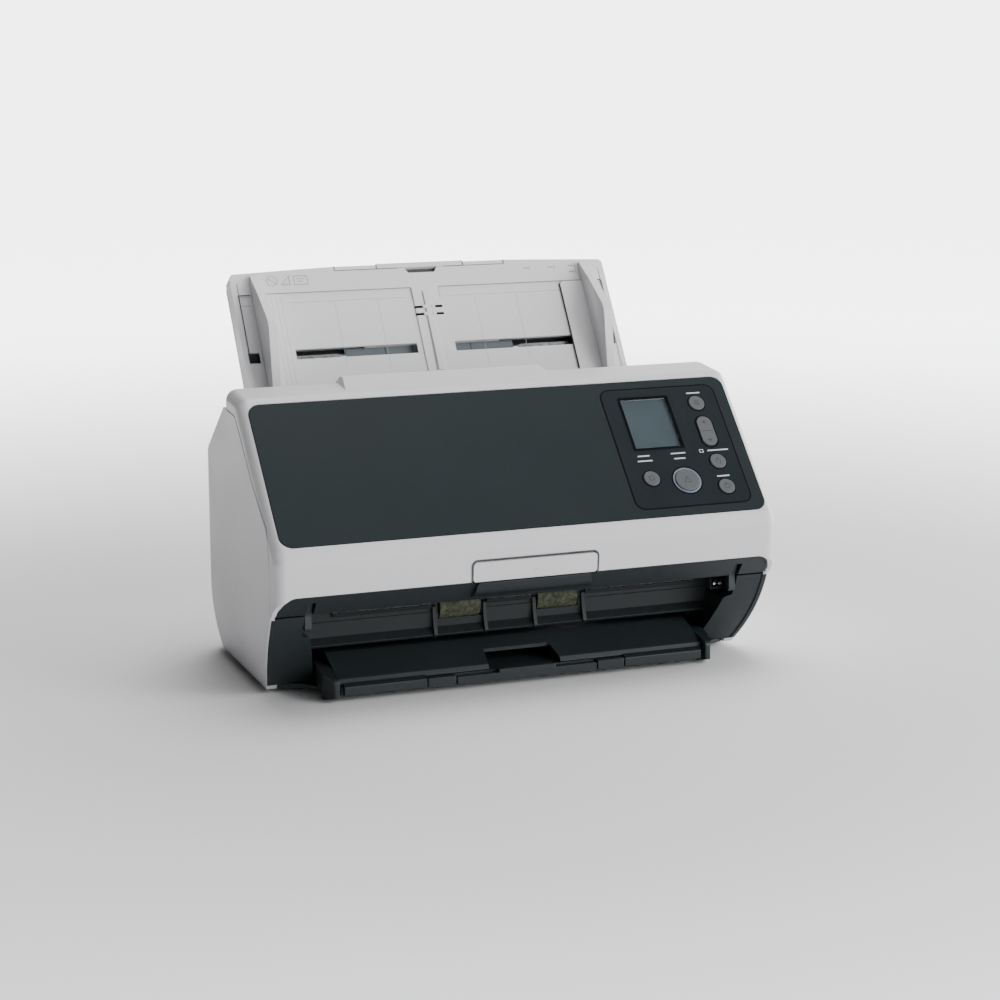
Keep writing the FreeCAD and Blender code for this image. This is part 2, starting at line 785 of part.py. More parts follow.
def make_scanning_units():
    """Lower and upper scanning units, each with its own glass."""
    for name, sign in (("lower", -1), ("upper", 1)):
        lift = {-1: -1.3 - 1.1 - SCAN_DEPTH, 1: 1.3 + 1.1}[sign]
        body = new_body(f"{name}_scan_unit", slope_placement(SCAN_Y, SCAN_Z, SCAN_TURN, lift))
        add_pad(body, add_sketch(body, rectangle(-SCAN_HALF, -9, SCAN_HALF, 9, 1)), SCAN_DEPTH)
        lift = {-1: -2.3, 1: 1.2}[sign]
        body = new_body(f"{name}_scan_glass", slope_placement(SCAN_Y, SCAN_Z, SCAN_TURN, lift))
        add_pad(body, add_sketch(body, rectangle(-SCAN_HALF, -8, SCAN_HALF, 8, 0.5)), 1.1)


LATCH_X = (126.3, 130.0)
LATCH_GAP = 0.6


def make_lid_inner_guide():
    """Dark moulding under the lid: front lip, underside and upper paper guide."""
    side = dim("lid_inner_half_width")
    skin = 2.2
    lip = [(LID_LIP[0] + 0.9, LID_LIP[1] - 0.2), (PARTING[0] + 0.4, PARTING[1] + 0.3)]
    near = path_corners(SHEET_GAP)
    far = path_corners(SHEET_GAP + skin)
    low_end = (-62.0, PARTING[1] + 0.3, 3)
    join = chute_point(-84.0, SHEET_GAP)
    join_far = chute_point(-84.0, SHEET_GAP + skin)
    throat = chute_point(-58.0, 8.6)
    throat_far = chute_point(-58.0, 8.6 + skin)
    nose = chute_point(-50.0, 10.0)
    nose_far = chute_point(-50.0, 10.0 + skin)
    under = [
        (-84.0, low_end[1], 0), low_end, near[2], near[1], (*join, 6), (*throat, 4), (*nose, 0),
        (*nose_far, 0), (*throat_far, 4), (*join_far, 6), far[1], far[2],
        (-62.5, low_end[1] + skin, 3), (-84.0, low_end[1] + skin, 0),
    ]
    guide = prism("X", under, -side, side)
    lip_block = prism("X", [
        (*lip[0], 0.5), (*lip[1], 1.5), (-70.0, lip[1][1], 0), (-70.0, lip[1][1] + skin, 0),
        (-87.5, lip[1][1] + skin, 1.5), (-95.0, lip[0][1], 0),
    ], -HALF, HALF)
    lip_block = lip_block.common(mouth_front(0.3)).common(tapered_front(WALL + 0.3))
    hood_half = dim("tab_half_width") - 1.0
    hood = prism("X", [
        (-99.0, 64.2, 0.6), (-97.6, 58.4, 6), (-92.4, 54.8, 2), (-86.0, 54.6, 0), (-86.0, 64.2, 0),
    ], -hood_half, hood_half)
    hood_front = prism("Y", [
        (-hood_half, 50, 0), (hood_half, 50, 0), (hood_half - 2.0, 64.2, 3),
        (-hood_half + 2.0, 64.2, 3),
    ], -110, -80)
    ribs = []
    for x in (-100, -58, 58, 100):
        ribs.append(block(x - 1, -86, low_end[1] + 1, x + 1, -58, low_end[1] + 9))
    guide = fuse([guide, lip_block, hood.common(hood_front)] + ribs)
    guide = guide.cut(scan_slab(SCAN_HALF + 0.4, 9.4, 0.2, 20))
    for (y, z), radius in ((BRAKE, BRAKE_RADIUS), (FEED_IDLER, SMALL_ROLLER),
                           (EJECT_IDLER, SMALL_ROLLER)):
        for room in roller_windows(y, z, radius, 1.0):
            guide = guide.cut(room)
        guide = guide.cut(rod(Vector(-62, y, z), Vector(62, y, z), IDLER_SHAFT + 0.6))
        for name, sign in SIDES:
            bearing = rod(Vector(sign * 48, y, z), Vector(sign * 56, y, z), 3.6)
            guide = guide.fuse(bearing)
        guide = guide.cut(rod(Vector(-62, y, z), Vector(62, y, z),
                              IDLER_SHAFT + dim("running_gap")))
    room_half = dim("tab_half_width") + 1.0
    guide = guide.cut(block(-room_half, -104, 64.2, room_half, -90, 70))
    for name, sign in SIDES:
        x0, x1 = sorted((sign * (LATCH_X[0] - LATCH_GAP), sign * (LATCH_X[1] + LATCH_GAP)))
        guide = guide.cut(block(x0, -94.9, 40, x1, -80, 72))
    return guide.removeSplitter()


add_shape("lower_paper_guide", make_lower_guide())
make_scanning_units()
add_shape("lid_inner_guide", make_lid_inner_guide())


# ---------------------------------------------------------------- cover-open tab and latch

TAB_AXIS = (dim("tab_axis_y"), dim("tab_axis_z"))
LATCH_SHAFT = 1.6


def make_cover_tab():
    """Pull tab in the middle of the front strip, on two arms from the latch shaft."""
    side = dim("tab_half_width")
    front = dim("front_face")
    low, high = LID_LIP[1] - 0.4, LID_LIP[1] + TAB_HEIGHT
    plate = prism("X", [
        (front + 1.0, low, 1), (front, high, 1), (front + 3.2, high, 0.5), (front + 3.8, low, 1),
    ], -side, side)
    window = prism("Y", [
        (-side, low, 2.2), (side, low, 2.2), (side, high, 2.6), (-side, high, 2.6),
    ], -110, -90)
    tab = plate.common(window)
    arms = []
    for x in (-30.0, 30.0):
        arm = prism("X", [
            (front + 2.4, LID_LIP[1] + 4.0, 0), (TAB_AXIS[0] + 3.0, TAB_AXIS[1] - 3.0, 2),
            (TAB_AXIS[0] + 3.0, TAB_AXIS[1] + 3.0, 2), (front + 2.4, TAB_AXIS[1] + 0.5, 0),
        ], x - 2, x + 2)
        arms.append(arm)
    tab = fuse([tab] + arms)
    bore = rod(Vector(-40, *TAB_AXIS), Vector(40, *TAB_AXIS), LATCH_SHAFT)
    return tab.cut(bore)


def make_latch_bar():
    """Steel shaft behind the front strip with a latch lever at each end."""
    shaft = rod(Vector(-LATCH_X[1], *TAB_AXIS), Vector(LATCH_X[1], *TAB_AXIS), LATCH_SHAFT)
    levers = []
    for name, sign in SIDES:
        x0, x1 = sorted((sign * LATCH_X[0], sign * LATCH_X[1]))
        levers.append(prism("X", [
            (-96.4, 76.8, 1.5), (-92.8, 76.8, 1.5), (-88.5, 64.0, 8), (-82.5, 50.0, 4),
            (-82.0, 44.0, 1.5), (-85.0, 41.5, 1.5), (-86.6, 44.0, 1), (-86.2, 52.0, 4),
            (-90.8, 61.0, 8), (-94.8, 70.0, 3),
        ], x0, x1))
    return fuse([shaft] + levers)


add_shape("cover_tab", make_cover_tab())
add_shape("latch_bar", make_latch_bar())


# ---------------------------------------------------------------- base casing

def make_side_panel(sign):
    """Light side panel: tapered side, rounded rear corner and a strip of the roof."""
    shell = BASE_OUTER.cut(BASE_INNER)
    x0, x1 = sorted((sign * SHOULDER, sign * FAR))
    panel = shell.common(block(x0, -FAR, FLOOR, x1, FAR, FAR))
    panel = panel.cut(lid_zone(SEAM_GAP)).common(behind_front())
    x0, x1 = sorted((sign * SHOULDER, sign * 138.4))
    panel = panel.cut(block(x0, -FAR, 0, x1, FAR, 9.0))
    panel = panel.cut(block(-138.4, -FAR, 0, 138.4, 60.4, 5.8))
    x0, x1 = sorted((sign * SHOULDER, sign * (SHOULDER + 2.0)))
    y0, y1 = dim("lid_rear_y") + SEAM_GAP, dim("rear_face") - 1.0
    lip = prism("X", [
        (y0, roof_height(y0) - 1.0, 0), (y1, roof_height(y1) - 1.0, 0),
        (y1, roof_height(y1) - 9.0, 0), (y0, roof_height(y0) - 9.0, 0),
    ], x0, x1)
    return fuse([panel, lip])


def mirrored(corners):
    """An outline for the right half, completed with its mirror image on the left."""
    return corners + [(-u, v, radius) for u, v, radius in corners[::-1]]


MOUTH_SIDE = [
    (118.0, 5.8, 0), (125.6, 37.5, 2), (130.6, 39.0, 1), (130.6, PARTING[1] - 0.4, 0),
]
CHEEK = 2.0
RIBS_X = (-45.8, -15.2, 15.2, 45.8)
BEZEL_LOW = FLOOR + 2.7


def exit_wall():
    """Upright wall under the exit, with the sill in front of it and four pointed ribs."""
    wall = prism("X", [
        (-61.5, 26.4, 0.4), (-57.5, 30.2, 0), (-57.5, 38.8, 0.2), (-56.8, 38.8, 0),
        (-56.8, 46.4, 0.3), (-55.7, 46.4, 0.3), (-55.7, 28.6, 1), (-60.4, 24.9, 0.4),
    ], -HALF, HALF)
    inside = [(x + CHEEK / 2, z, r) for x, z, r in MOUTH_SIDE]
    wall = wall.common(prism("Y", mirrored(inside), -FAR, FAR))
    for room in roller_windows(*EJECT, ROLLER, 0.9):
        wall = wall.cut(room)
    ribs = []
    for x in RIBS_X:
        ribs.append(prism("X", [
            (-56.6, 43.4, 0), (-58.6, 42.4, 1), (-59.8, 34.0, 2), (-62.4, 26.4, 0.5),
            (-61.0, 24.6, 0.5), (-56.6, 27.0, 0),
        ], x - 1, x + 1))
    return [wall] + ribs


def make_front_bezel():
    """Dark surround of the exit mouth: two wings, the cheeks, and the wall under the exit."""
    wings = behind_front(0.4).cut(behind_front(3.0)).common(tapered_front(WALL + 0.2))
    wings = wings.common(block(-FAR, -FAR, BEZEL_LOW, FAR, FAR, PARTING[1] - 0.4))
    low_edge = [(MOUTH_SIDE[0][0], -30.0, 0)]
    high_edge = [(MOUTH_SIDE[-1][0], 90.0, 0)]
    wings = wings.cut(prism("Y", mirrored(low_edge + MOUTH_SIDE[:-1] + high_edge), -FAR, FAR))
    cheeks = []
    for name, sign in SIDES:
        outer = [(x + CHEEK, z - CHEEK / 2 if 30 < z < 40 else z, r) for x, z, r in MOUTH_SIDE]
        outline = [(sign * x, z, r) for x, z, r in MOUTH_SIDE + outer[::-1]]
        cheeks.append(prism("Y", outline, -100, -45.0).common(behind_front(1.0)))
    bezel = fuse([wings] + cheeks + exit_wall())
    shaft_room = rod(Vector(-FAR, *EJECT), Vector(FAR, *EJECT), dim("shaft_radius") + 1.0)
    return bezel.cut(shaft_room)


ARM_INNER = dim("tray_half_width") + 0.4


def make_base_tray():
    """Dark bottom of the base with the two arms that guide the stacker."""
    front = [(ARM_INNER, -88.2, 1), (ARM_INNER + 3.4, -88.2, 1.5), (117.8, -76.0, 6), (118.2, -68.0, 6)]
    half = [(ARM_INNER, -50.0, 0)] + front + [(124.0, -60.8, 6), (138.0, -54.6, 2), (138.0, 60.0, 20)]
    pieces = [prism("Z", mirrored(half), FLOOR, FLOOR + 2.4)]
    for name, sign in SIDES:
        x0, x1 = sorted((sign * ARM_INNER, sign * 120.0))
        side_view = prism("X", [
            (-88.2, FLOOR, 1), (-88.2, 13.4, 3), (-68.0, 16.6, 6), (-46.0, 16.6, 0), (-46.0, 12.0, 0),
            (22.0, 12.0, 0), (22.0, FLOOR, 0), (-74.8, FLOOR, 0), (-74.8, 0.0, 0.8), (-76.6, 0.0, 1),
        ], x0, x1)
        top_view = front + [(117.2, -60.0, 0), (115.4, -50.0, 0), (115.4, 22.0, 0), (ARM_INNER, 22.0, 0)]
        top_view = [(sign * x, y, radius) for x, y, radius in top_view]
        pieces.append(side_view.common(prism("Z", top_view, 0, 20)))
    for x, y in ((-80, 40), (80, 40), (-80, -10), (80, -10)):
        pieces.append(rod(Vector(x, y, FLOOR), Vector(x, y, 9.0), 3.0))
    return fuse(pieces)


CONNECTORS = {
    "dc_jack": (-98.0, 22.0, 10.0, 11.0),
    "usb_socket": (-74.0, 22.0, 12.0, 11.0),
    "lan_socket": (-48.0, 24.0, 16.0, 14.0),
}
CONNECTOR_DEPTH = 12.0
REAR = dim("rear_face")
REAR_SCREWS = ((-112.0, 16.0), (112.0, 16.0), (-112.0, 92.0), (112.0, 92.0))
BUSH_RADIUS = 4.5
MOTOR = (22.0, 44.0)
BELT_X = 134.6
PICK_BELT_X = 126.6
BELT_WIDTH = 5.0
PULLEY_SEAT = 6.0


def chute_room(clear):
    """The space that the chute takes in the back of the case."""
    room = block(-FAR, -70.0, -dim("chute_depth") - clear, FAR, 120.0, 60.0)
    room.Placement = chute_frame()
    return room


def make_rear_cover():
    """Rear cover with air slots, the connector openings, the lock slot and screw holes."""
    cover = BASE_OUTER.cut(BASE_INNER)
    side = SHOULDER - 0.3
    cover = cover.common(block(-side, 20.0, FLOOR + 2.8, side, FAR, FAR)).cut(chute_room(0.6))
    cover = cover.cut(block(-FAR, 0.0, 0.0, FAR, REAR - WALL - 0.05, 50.0))
    for x, z, width, height in CONNECTORS.values():
        cover = cover.cut(block(x - width / 2 - 0.3, 50, z - height / 2 - 0.3,
                                x + width / 2 + 0.3, 70, z + height / 2 + 0.3))
    for column in range(12):
        x = 20.0 + 7.0 * column
        cover = cover.cut(prism("Y", rectangle(x - 1.4, 66, x + 1.4, 92, 1.39), 55, 70))
    lock = prism("Y", rectangle(84.0, 19.0, 91.0, 22.0, 1.49), 55, 70)
    cover = cover.cut(lock)
    for x, z in REAR_SCREWS:
        cover = cover.cut(rod(Vector(x, 55, z), Vector(x, 70, z), dim("screw_radius") + 0.1))
    return cover


def make_case_screws():
    """Four pan-head screws in the rear cover."""
    items = []
    for index, (x, z) in enumerate(REAR_SCREWS):
        turn = FreeCAD.Rotation(Vector(1, 0, 0), 90)
        shank = add_cylinder(f"screw_shank_{index}", "dims.screw_radius", 10.0,
                             FreeCAD.Placement(Vector(x, REAR, z), turn))
        head = add_cylinder(f"screw_head_{index}", "dims.screw_radius * 2", 1.6,
                            FreeCAD.Placement(Vector(x, REAR + 1.6, z), turn))
        screw = doc.addObject("Part::MultiFuse", f"screw_{index}")
        screw.Shapes = [shank, head]
        items.append(screw)
    add_group("case_screws", items)


def make_connectors():
    """Sockets in the rear cover: each a shell with its opening to the rear."""
    for label, (x, z, width, height) in CONNECTORS.items():
        outer = doc.addObject("Part::Box", f"{label}_case")
        outer.Length, outer.Width, outer.Height = width, CONNECTOR_DEPTH, height
        outer.Placement.Base = Vector(x - width / 2, REAR - CONNECTOR_DEPTH - 0.4, z - height / 2)
        if label == "dc_jack":
            hollow = add_cylinder("dc_jack_hole", 2.9, 9.0, FreeCAD.Placement(
                Vector(x, REAR, z), FreeCAD.Rotation(Vector(1, 0, 0), 90)))
            pin = add_cylinder("dc_jack_pin", 1.0, 9.0, FreeCAD.Placement(
                Vector(x, REAR - 1.0, z), FreeCAD.Rotation(Vector(1, 0, 0), 90)))
        else:
            hollow = doc.addObject("Part::Box", f"{label}_opening")
            hollow.Length, hollow.Width, hollow.Height = width - 2.4, 10.0, height - 2.4
            hollow.Placement.Base = Vector(x - width / 2 + 1.2, REAR - 9.0, z - height / 2 + 1.2)
            pin = doc.addObject("Part::Box", f"{label}_tongue")
            pin.Length, pin.Width, pin.Height = width - 5.5, 8.0, 1.6
            pin.Placement.Base = Vector(x - width / 2 + 2.75, REAR - 9.5, z + 0.4)
        cut = doc.addObject("Part::Cut", f"{label}_shell")
        cut.Base, cut.Tool = outer, hollow
        add_fusion(label, [cut, pin])


def make_main_board():
    """Main printed board, upright behind the rear cover."""
    turn = FreeCAD.Rotation(Vector(1, 0, 0), 90)
    body = new_body("main_board", FreeCAD.Placement(Vector(0, 48.6, 0), turn))
    add_pad(body, add_sketch(body, rectangle(-104.0, 12.0, 66.0, 96.0, 2)), "dims.board_thickness")
    holes = [(x, z, 1.7) for x in (-99.0, 61.0) for z in (17.0, 91.0)]
    add_pocket(body, add_sketch(body, circles=holes, name="holes"), "dims.board_thickness",
               dim("board_thickness"))


def make_side_frames():
    """Two sheet-metal side frames that carry the shafts and the lid's hinge pins."""
    frames = []
    for name, sign in SIDES:
        x0, x1 = sorted((sign * dim("frame_x"), sign * (dim("frame_x") + dim("frame_thickness"))))
        y, z = dim("hinge_y"), dim("hinge_z")
        plate = prism("X", [
            (y - 5.5, z + 5.5, 5.45), (y + 5.5, z + 5.5, 5.45), (y + 5.5, 141.5, 2), (35.5, 125.0, 4),
            (45.0, 116.2, 4), (56.0, 106.0, 6), (56.0, 9.0, 4), (-42.0, 9.0, 4), (-43.0, 32.5, 2),
            (-55.3, 32.5, 4), (-55.3, 47.4, 3), (-44.0, 48.4, 3), (-22.0, 62.0, 8), (-3.0, 88.0, 8),
        ], x0, x1)
        for centre in (FEED, PICK, EJECT):
            plate = plate.cut(rod(Vector(x0 - 1, *centre), Vector(x1 + 1, *centre), BUSH_RADIUS))
        plate = plate.cut(rod(Vector(x0 - 1, y, z), Vector(x1 + 1, y, z), dim("hinge_pin_radius")))
        if sign > 0:
            plate = plate.cut(rod(Vector(x0 - 1, *MOTOR), Vector(x1 + 1, *MOTOR), 6.0))
        frames.append(plate)
    return Part.makeCompound(frames)


def make_hinge_pins():
    """Two steel pins, fixed in the side frames, that the lid turns on."""
    pins = []
    for name, sign in SIDES:
        start = min(sign * 112.4, sign * (dim("frame_x") + dim("frame_thickness") + 0.4))
        length = dim("frame_x") + dim("frame_thickness") + 0.4 - 112.4
        pins.append(add_cylinder(f"hinge_pin_{name}", "dims.hinge_pin_radius", length,
                                 along_x(start, dim("hinge_y"), dim("hinge_z"))))
    add_group("hinge_pins", pins)


def make_bushes():
    """Flanged bearing bushes for the three driven shafts."""
    rings = []
    for name, sign in SIDES:
        for y, z in (FEED, PICK, EJECT):
            inner = sign * dim("frame_x")
            sleeve = rod(Vector(inner, y, z), Vector(inner + sign * 4.0, y, z), BUSH_RADIUS)
            flange_start = inner + sign * dim("frame_thickness")
            flange = rod(Vector(flange_start, y, z), Vector(flange_start + sign * 1.2, y, z), 5.4)
            bore = rod(Vector(inner - sign, y, z), Vector(inner + sign * 6, y, z),
                       dim("shaft_radius") + dim("running_gap"))
            rings.append(fuse([sleeve, flange]).cut(bore))
    return Part.makeCompound(rings)


def make_feet():
    """Four rubber feet under the tray."""
    feet = []
    for index, (x, y) in enumerate(((-118, -46), (118, -46), (-116, 44), (116, 44))):
        feet.append(add_cylinder(f"foot_{index}", "dims.foot_radius", "dims.base_bottom",
                                 FreeCAD.Placement(Vector(x, y, 0), FreeCAD.Rotation())))
    add_group("rubber_feet", feet)


def make_motor():
    """Feed motor on the right side frame."""
    y, z = MOTOR
    can = rod(Vector(84.0, y, z), Vector(118.0, y, z), 17.0)
    flange = block(118.0, y - 20, z - 20, 120.0, y + 20, z + 20)
    boss = rod(Vector(120.0, y, z), Vector(122.5, y, z), 5.8)
    bore = rod(Vector(100.0, y, z), Vector(130.0, y, z), 2.05)
    return fuse([can, flange, boss]).cut(bore)


add_shape("side_panel_left", make_side_panel(-1))
add_shape("side_panel_right", make_side_panel(1))
add_shape("front_bezel", make_front_bezel())
add_shape("base_tray", make_base_tray())
add_shape("rear_cover", make_rear_cover())
make_case_screws()
make_connectors()
make_main_board()
add_shape("side_frames", make_side_frames())
make_hinge_pins()
add_shape("shaft_bushes", make_bushes())
make_feet()
add_shape("feed_motor", make_motor())


# ---------------------------------------------------------------- rollers and drive

def add_rollers(label, centre, radius, shaft_radius):
    """Two rubber rollers on one shaft."""
    tyres = []
    for name, sign in SIDES:
        start = min(sign * ROLLER_X[0], sign * ROLLER_X[1])
        tube = add_cylinder(f"{label}_{name}_tube", radius, "dims.roller_length",
                            along_x(start, *centre))
        bore = add_cylinder(f"{label}_{name}_bore", shaft_radius, "dims.roller_length",
                            along_x(start, *centre))
        tyre = doc.addObject("Part::Cut", f"{label}_{name}")
        tyre.Base, tyre.Tool = tube, bore
        tyres.append(tyre)
    add_group(label, tyres)


def pulley_items(label, centre, x):
    """A flanged belt pulley: the seat and its two flanges."""
    low = x - 0.3
    items = [add_cylinder(f"{label}_seat", PULLEY_SEAT, BELT_WIDTH + 0.6, along_x(low, *centre))]
    for index, start in enumerate((low - 0.8, low + BELT_WIDTH + 0.6)):
        items.append(add_cylinder(f"{label}_flange_{index}", PULLEY_SEAT + 2.0, 0.8,
                                  along_x(start, *centre)))
    return items


def add_driven_shaft(label, centre, pulleys):
    """A steel shaft with its belt pulleys on the right-hand end."""
    start = -dim("frame_x") - 5.0
    finish = max(pulleys) + BELT_WIDTH + 2.0
    items = [add_cylinder(f"{label}_bar", "dims.shaft_radius", finish - start,
                          along_x(start, *centre))]
    for index, x in enumerate(pulleys):
        items += pulley_items(f"{label}_{index}", centre, x)
    add_fusion(label, items)


def belt_wire(centres, radius):
    """The closed line that wraps equal circles, taken in counter-clockwise order."""
    edges = []
    count = len(centres)
    points = [Vector(0, y, z) for y, z in centres]
    outward = []
    for index in range(count):
        run = (points[(index + 1) % count] - points[index]).normalize()
        outward.append(Vector(0, run.z, -run.y))
    for index in range(count):
        before, after = outward[index - 1], outward[index]
        middle = before + after
        if middle.Length < 1e-6:
            middle = Vector(0, -before.z, before.y)
        arc = Part.Arc(points[index] + before * radius, points[index] + middle.normalize() * radius,
                       points[index] + after * radius)
        edges.append(arc.toShape())
        edges.append(Part.LineSegment(points[index] + after * radius,
                                      points[(index + 1) % count] + after * radius).toShape())
    return Part.Wire(edges)


def make_belt(centres, x):
    """A flat belt that runs round its pulleys."""
    loops = []
    for radius in (PULLEY_SEAT + 0.1 + 1.2, PULLEY_SEAT + 0.1):
        face = Part.Face(belt_wire(centres, radius))
        face.translate(Vector(x, 0, 0))
        loops.append(face.extrude(Vector(BELT_WIDTH, 0, 0)))
    return loops[0].cut(loops[1])


add_rollers("feed_rollers", FEED, "dims.roller_radius", "dims.shaft_radius")
add_rollers("pick_rollers", PICK, "dims.roller_radius", "dims.shaft_radius")
add_rollers("eject_rollers", EJECT, "dims.roller_radius", "dims.shaft_radius")
add_driven_shaft("feed_shaft", FEED, (PICK_BELT_X, BELT_X))
add_driven_shaft("pick_shaft", PICK, (PICK_BELT_X,))
add_driven_shaft("eject_shaft", EJECT, (BELT_X,))


def make_motor_pulley():
    """The motor's spindle and its pulley."""
    start = 101.0
    spindle = add_cylinder("motor_spindle", 2.0, BELT_X + BELT_WIDTH + 2.0 - start,
                           along_x(start, *MOTOR))
    add_fusion("motor_pulley", [spindle] + pulley_items("motor", MOTOR, BELT_X))


make_motor_pulley()
add_shape("drive_belt", make_belt((EJECT, MOTOR, FEED), BELT_X))
add_shape("pick_belt", make_belt((FEED, PICK), PICK_BELT_X))


def add_idler(label, centre, radius, reach):
    """A lid roller pair with its own thin shaft, as one turning piece."""
    items = [add_cylinder(f"{label}_shaft", IDLER_SHAFT, 2 * reach, along_x(-reach, *centre))]
    for name, sign in SIDES:
        start = min(sign * ROLLER_X[0], sign * ROLLER_X[1])
        items.append(add_cylinder(f"{label}_{name}", radius, "dims.roller_length",
                                  along_x(start, *centre)))
    add_fusion(label, items)


add_idler("brake_roller", BRAKE, BRAKE_RADIUS, 60.0)
add_idler("feed_idler", FEED_IDLER, SMALL_ROLLER, 60.0)
add_idler("eject_idler", EJECT_IDLER, SMALL_ROLLER, 60.0)


# ---------------------------------------------------------------- chute and side guides

CHUTE_TOP_CORNER = 54.8
RECESS = 0.8
RECESS_TOP = 40.5
HANDLE_OUTER = 55.0
HANDLE_SPLIT = 28.0


def chute_outline(grow=0.0):
    """Outline of the chute, with its gently arched top edge."""
    side = dim("chute_half_width") + grow
    low = dim("chute_bottom") - grow
    return [
        (-side, low, 2), (side, low, 2), (side, CHUTE_TOP_CORNER + grow, 3),
        (0, 59.8 + grow, 2000), (-side, CHUTE_TOP_CORNER + grow, 3),
    ]


def make_chute_plate():
    """Paper chute: skin, side walls, recessed paper field, slots and finger notch."""
    skin = dim("chute_skin")
    depth = dim("chute_depth")
    body = new_body("chute_plate", chute_frame())
    block_sketch = add_sketch(body, chute_outline())
    add_pad(body, block_sketch, "dims.chute_depth - 1.8", offset=-depth + 1.8)
    doc.recompute()
    side = dim("chute_half_width") - 2.4
    inside = add_sketch(body, [(-side, -70, 0), (side, -70, 0), (side, 52.4, 2), (-side, 52.4, 2)],
                        name="inside")
    add_pocket(body, inside, depth - 1.8 - skin, -skin)
    handle = add_sketch(body, rectangle(-HANDLE_OUTER - 0.3, 50.0, HANDLE_OUTER + 0.3, 80.0),
                        name="handle_room")
    add_pocket(body, handle, depth, -skin)
    for name, sign in SIDES:
        x0, x1 = sorted((sign * 8.5, sign * (side - 0.6)))
        field = add_sketch(body, rectangle(x0, -70, x1, RECESS_TOP), name="paper_field")
        add_pocket(body, field, RECESS, 0.0)
        x0, x1 = sorted((sign * dim("slot_inner"), sign * dim("slot_outer")))
        half = dim("slot_half_height")
        slot = add_sketch(body, rectangle(x0, -half, x1, half, 0.5), name="guide_slot")
        add_pocket(body, slot, "dims.chute_skin", 0.0)
        x0, x1 = sorted((sign * 111.2, sign * 118.4))
        hole = add_sketch(body, rectangle(x0, -4.5, x1, 2.6), name="side_hole")
        add_pocket(body, hole, "dims.chute_skin", 0.0)
        for s0 in (21.7, 26.7):
            x0, x1 = sorted((sign * 3.4, sign * 8.8))
            clip = add_sketch(body, rectangle(x0, s0, x1, s0 + 0.9), name="clip_slot")
            add_pocket(body, clip, "dims.chute_skin", 0.0)
    notch = add_sketch(body, [(-8.5, 51.0, 1), (8.5, 51.0, 1), (15.0, 62.0, 0), (-15.0, 62.0, 0)],
                       name="finger_notch")
    add_pocket(body, notch, "dims.chute_skin", 0.0)
    rim = body.newObject("Sketcher::SketchObject", "rear_rim")
    rim.AttachmentSupport = [(origin_plane(body, "YZ_Plane"), "")]
    rim.MapMode = "FlatFace"
    low = -depth + 1.8
    for curve in outline_curves([(53.6, low - 1, 0), (62.0, low - 1, 0), (62.0, low + 6.5, 0)]):
        rim.addGeometry(curve, False)
    cut = body.newObject("PartDesign::Pocket", "rear_rim_cut")
    cut.Profile = rim
    cut.Midplane = True
    cut.Length = 2 * dim("chute_half_width") + 10
    doc.recompute()
    strip = add_sketch(body, rectangle(-HANDLE_OUTER - 0.3, 54.6, HANDLE_OUTER + 0.3, 62.0),
                       name="handle_strip")
    add_pocket(body, strip, "dims.chute_skin", 0.0)


def make_chute_back():
    """Rear cover of the chute."""
    body = new_body("chute_back_cover", chute_frame())
    side = dim("chute_half_width")
    outline = [(-side, dim("chute_bottom"), 2), (side, dim("chute_bottom"), 2), (side, 51.8, 2),
               (-side, 51.8, 2)]
    add_pad(body, add_sketch(body, outline), 1.7, offset=-dim("chute_depth"))


def make_slide_bars():
    """Two steel bars behind the slots."""
    bars = []
    for name, sign in SIDES:
        start = min(sign * 45.5, sign * 88.0)
        place = chute_frame().multiply(along_x(start, 0.0, -8.2))
        bars.append(add_cylinder(f"slide_bar_{name}", 2.0, 42.5, place))
    add_group("chute_slide_bars", bars)


FENCE_LOW, FENCE_HIGH = -38.0, 52.5
PLATE_TOP = 40.0


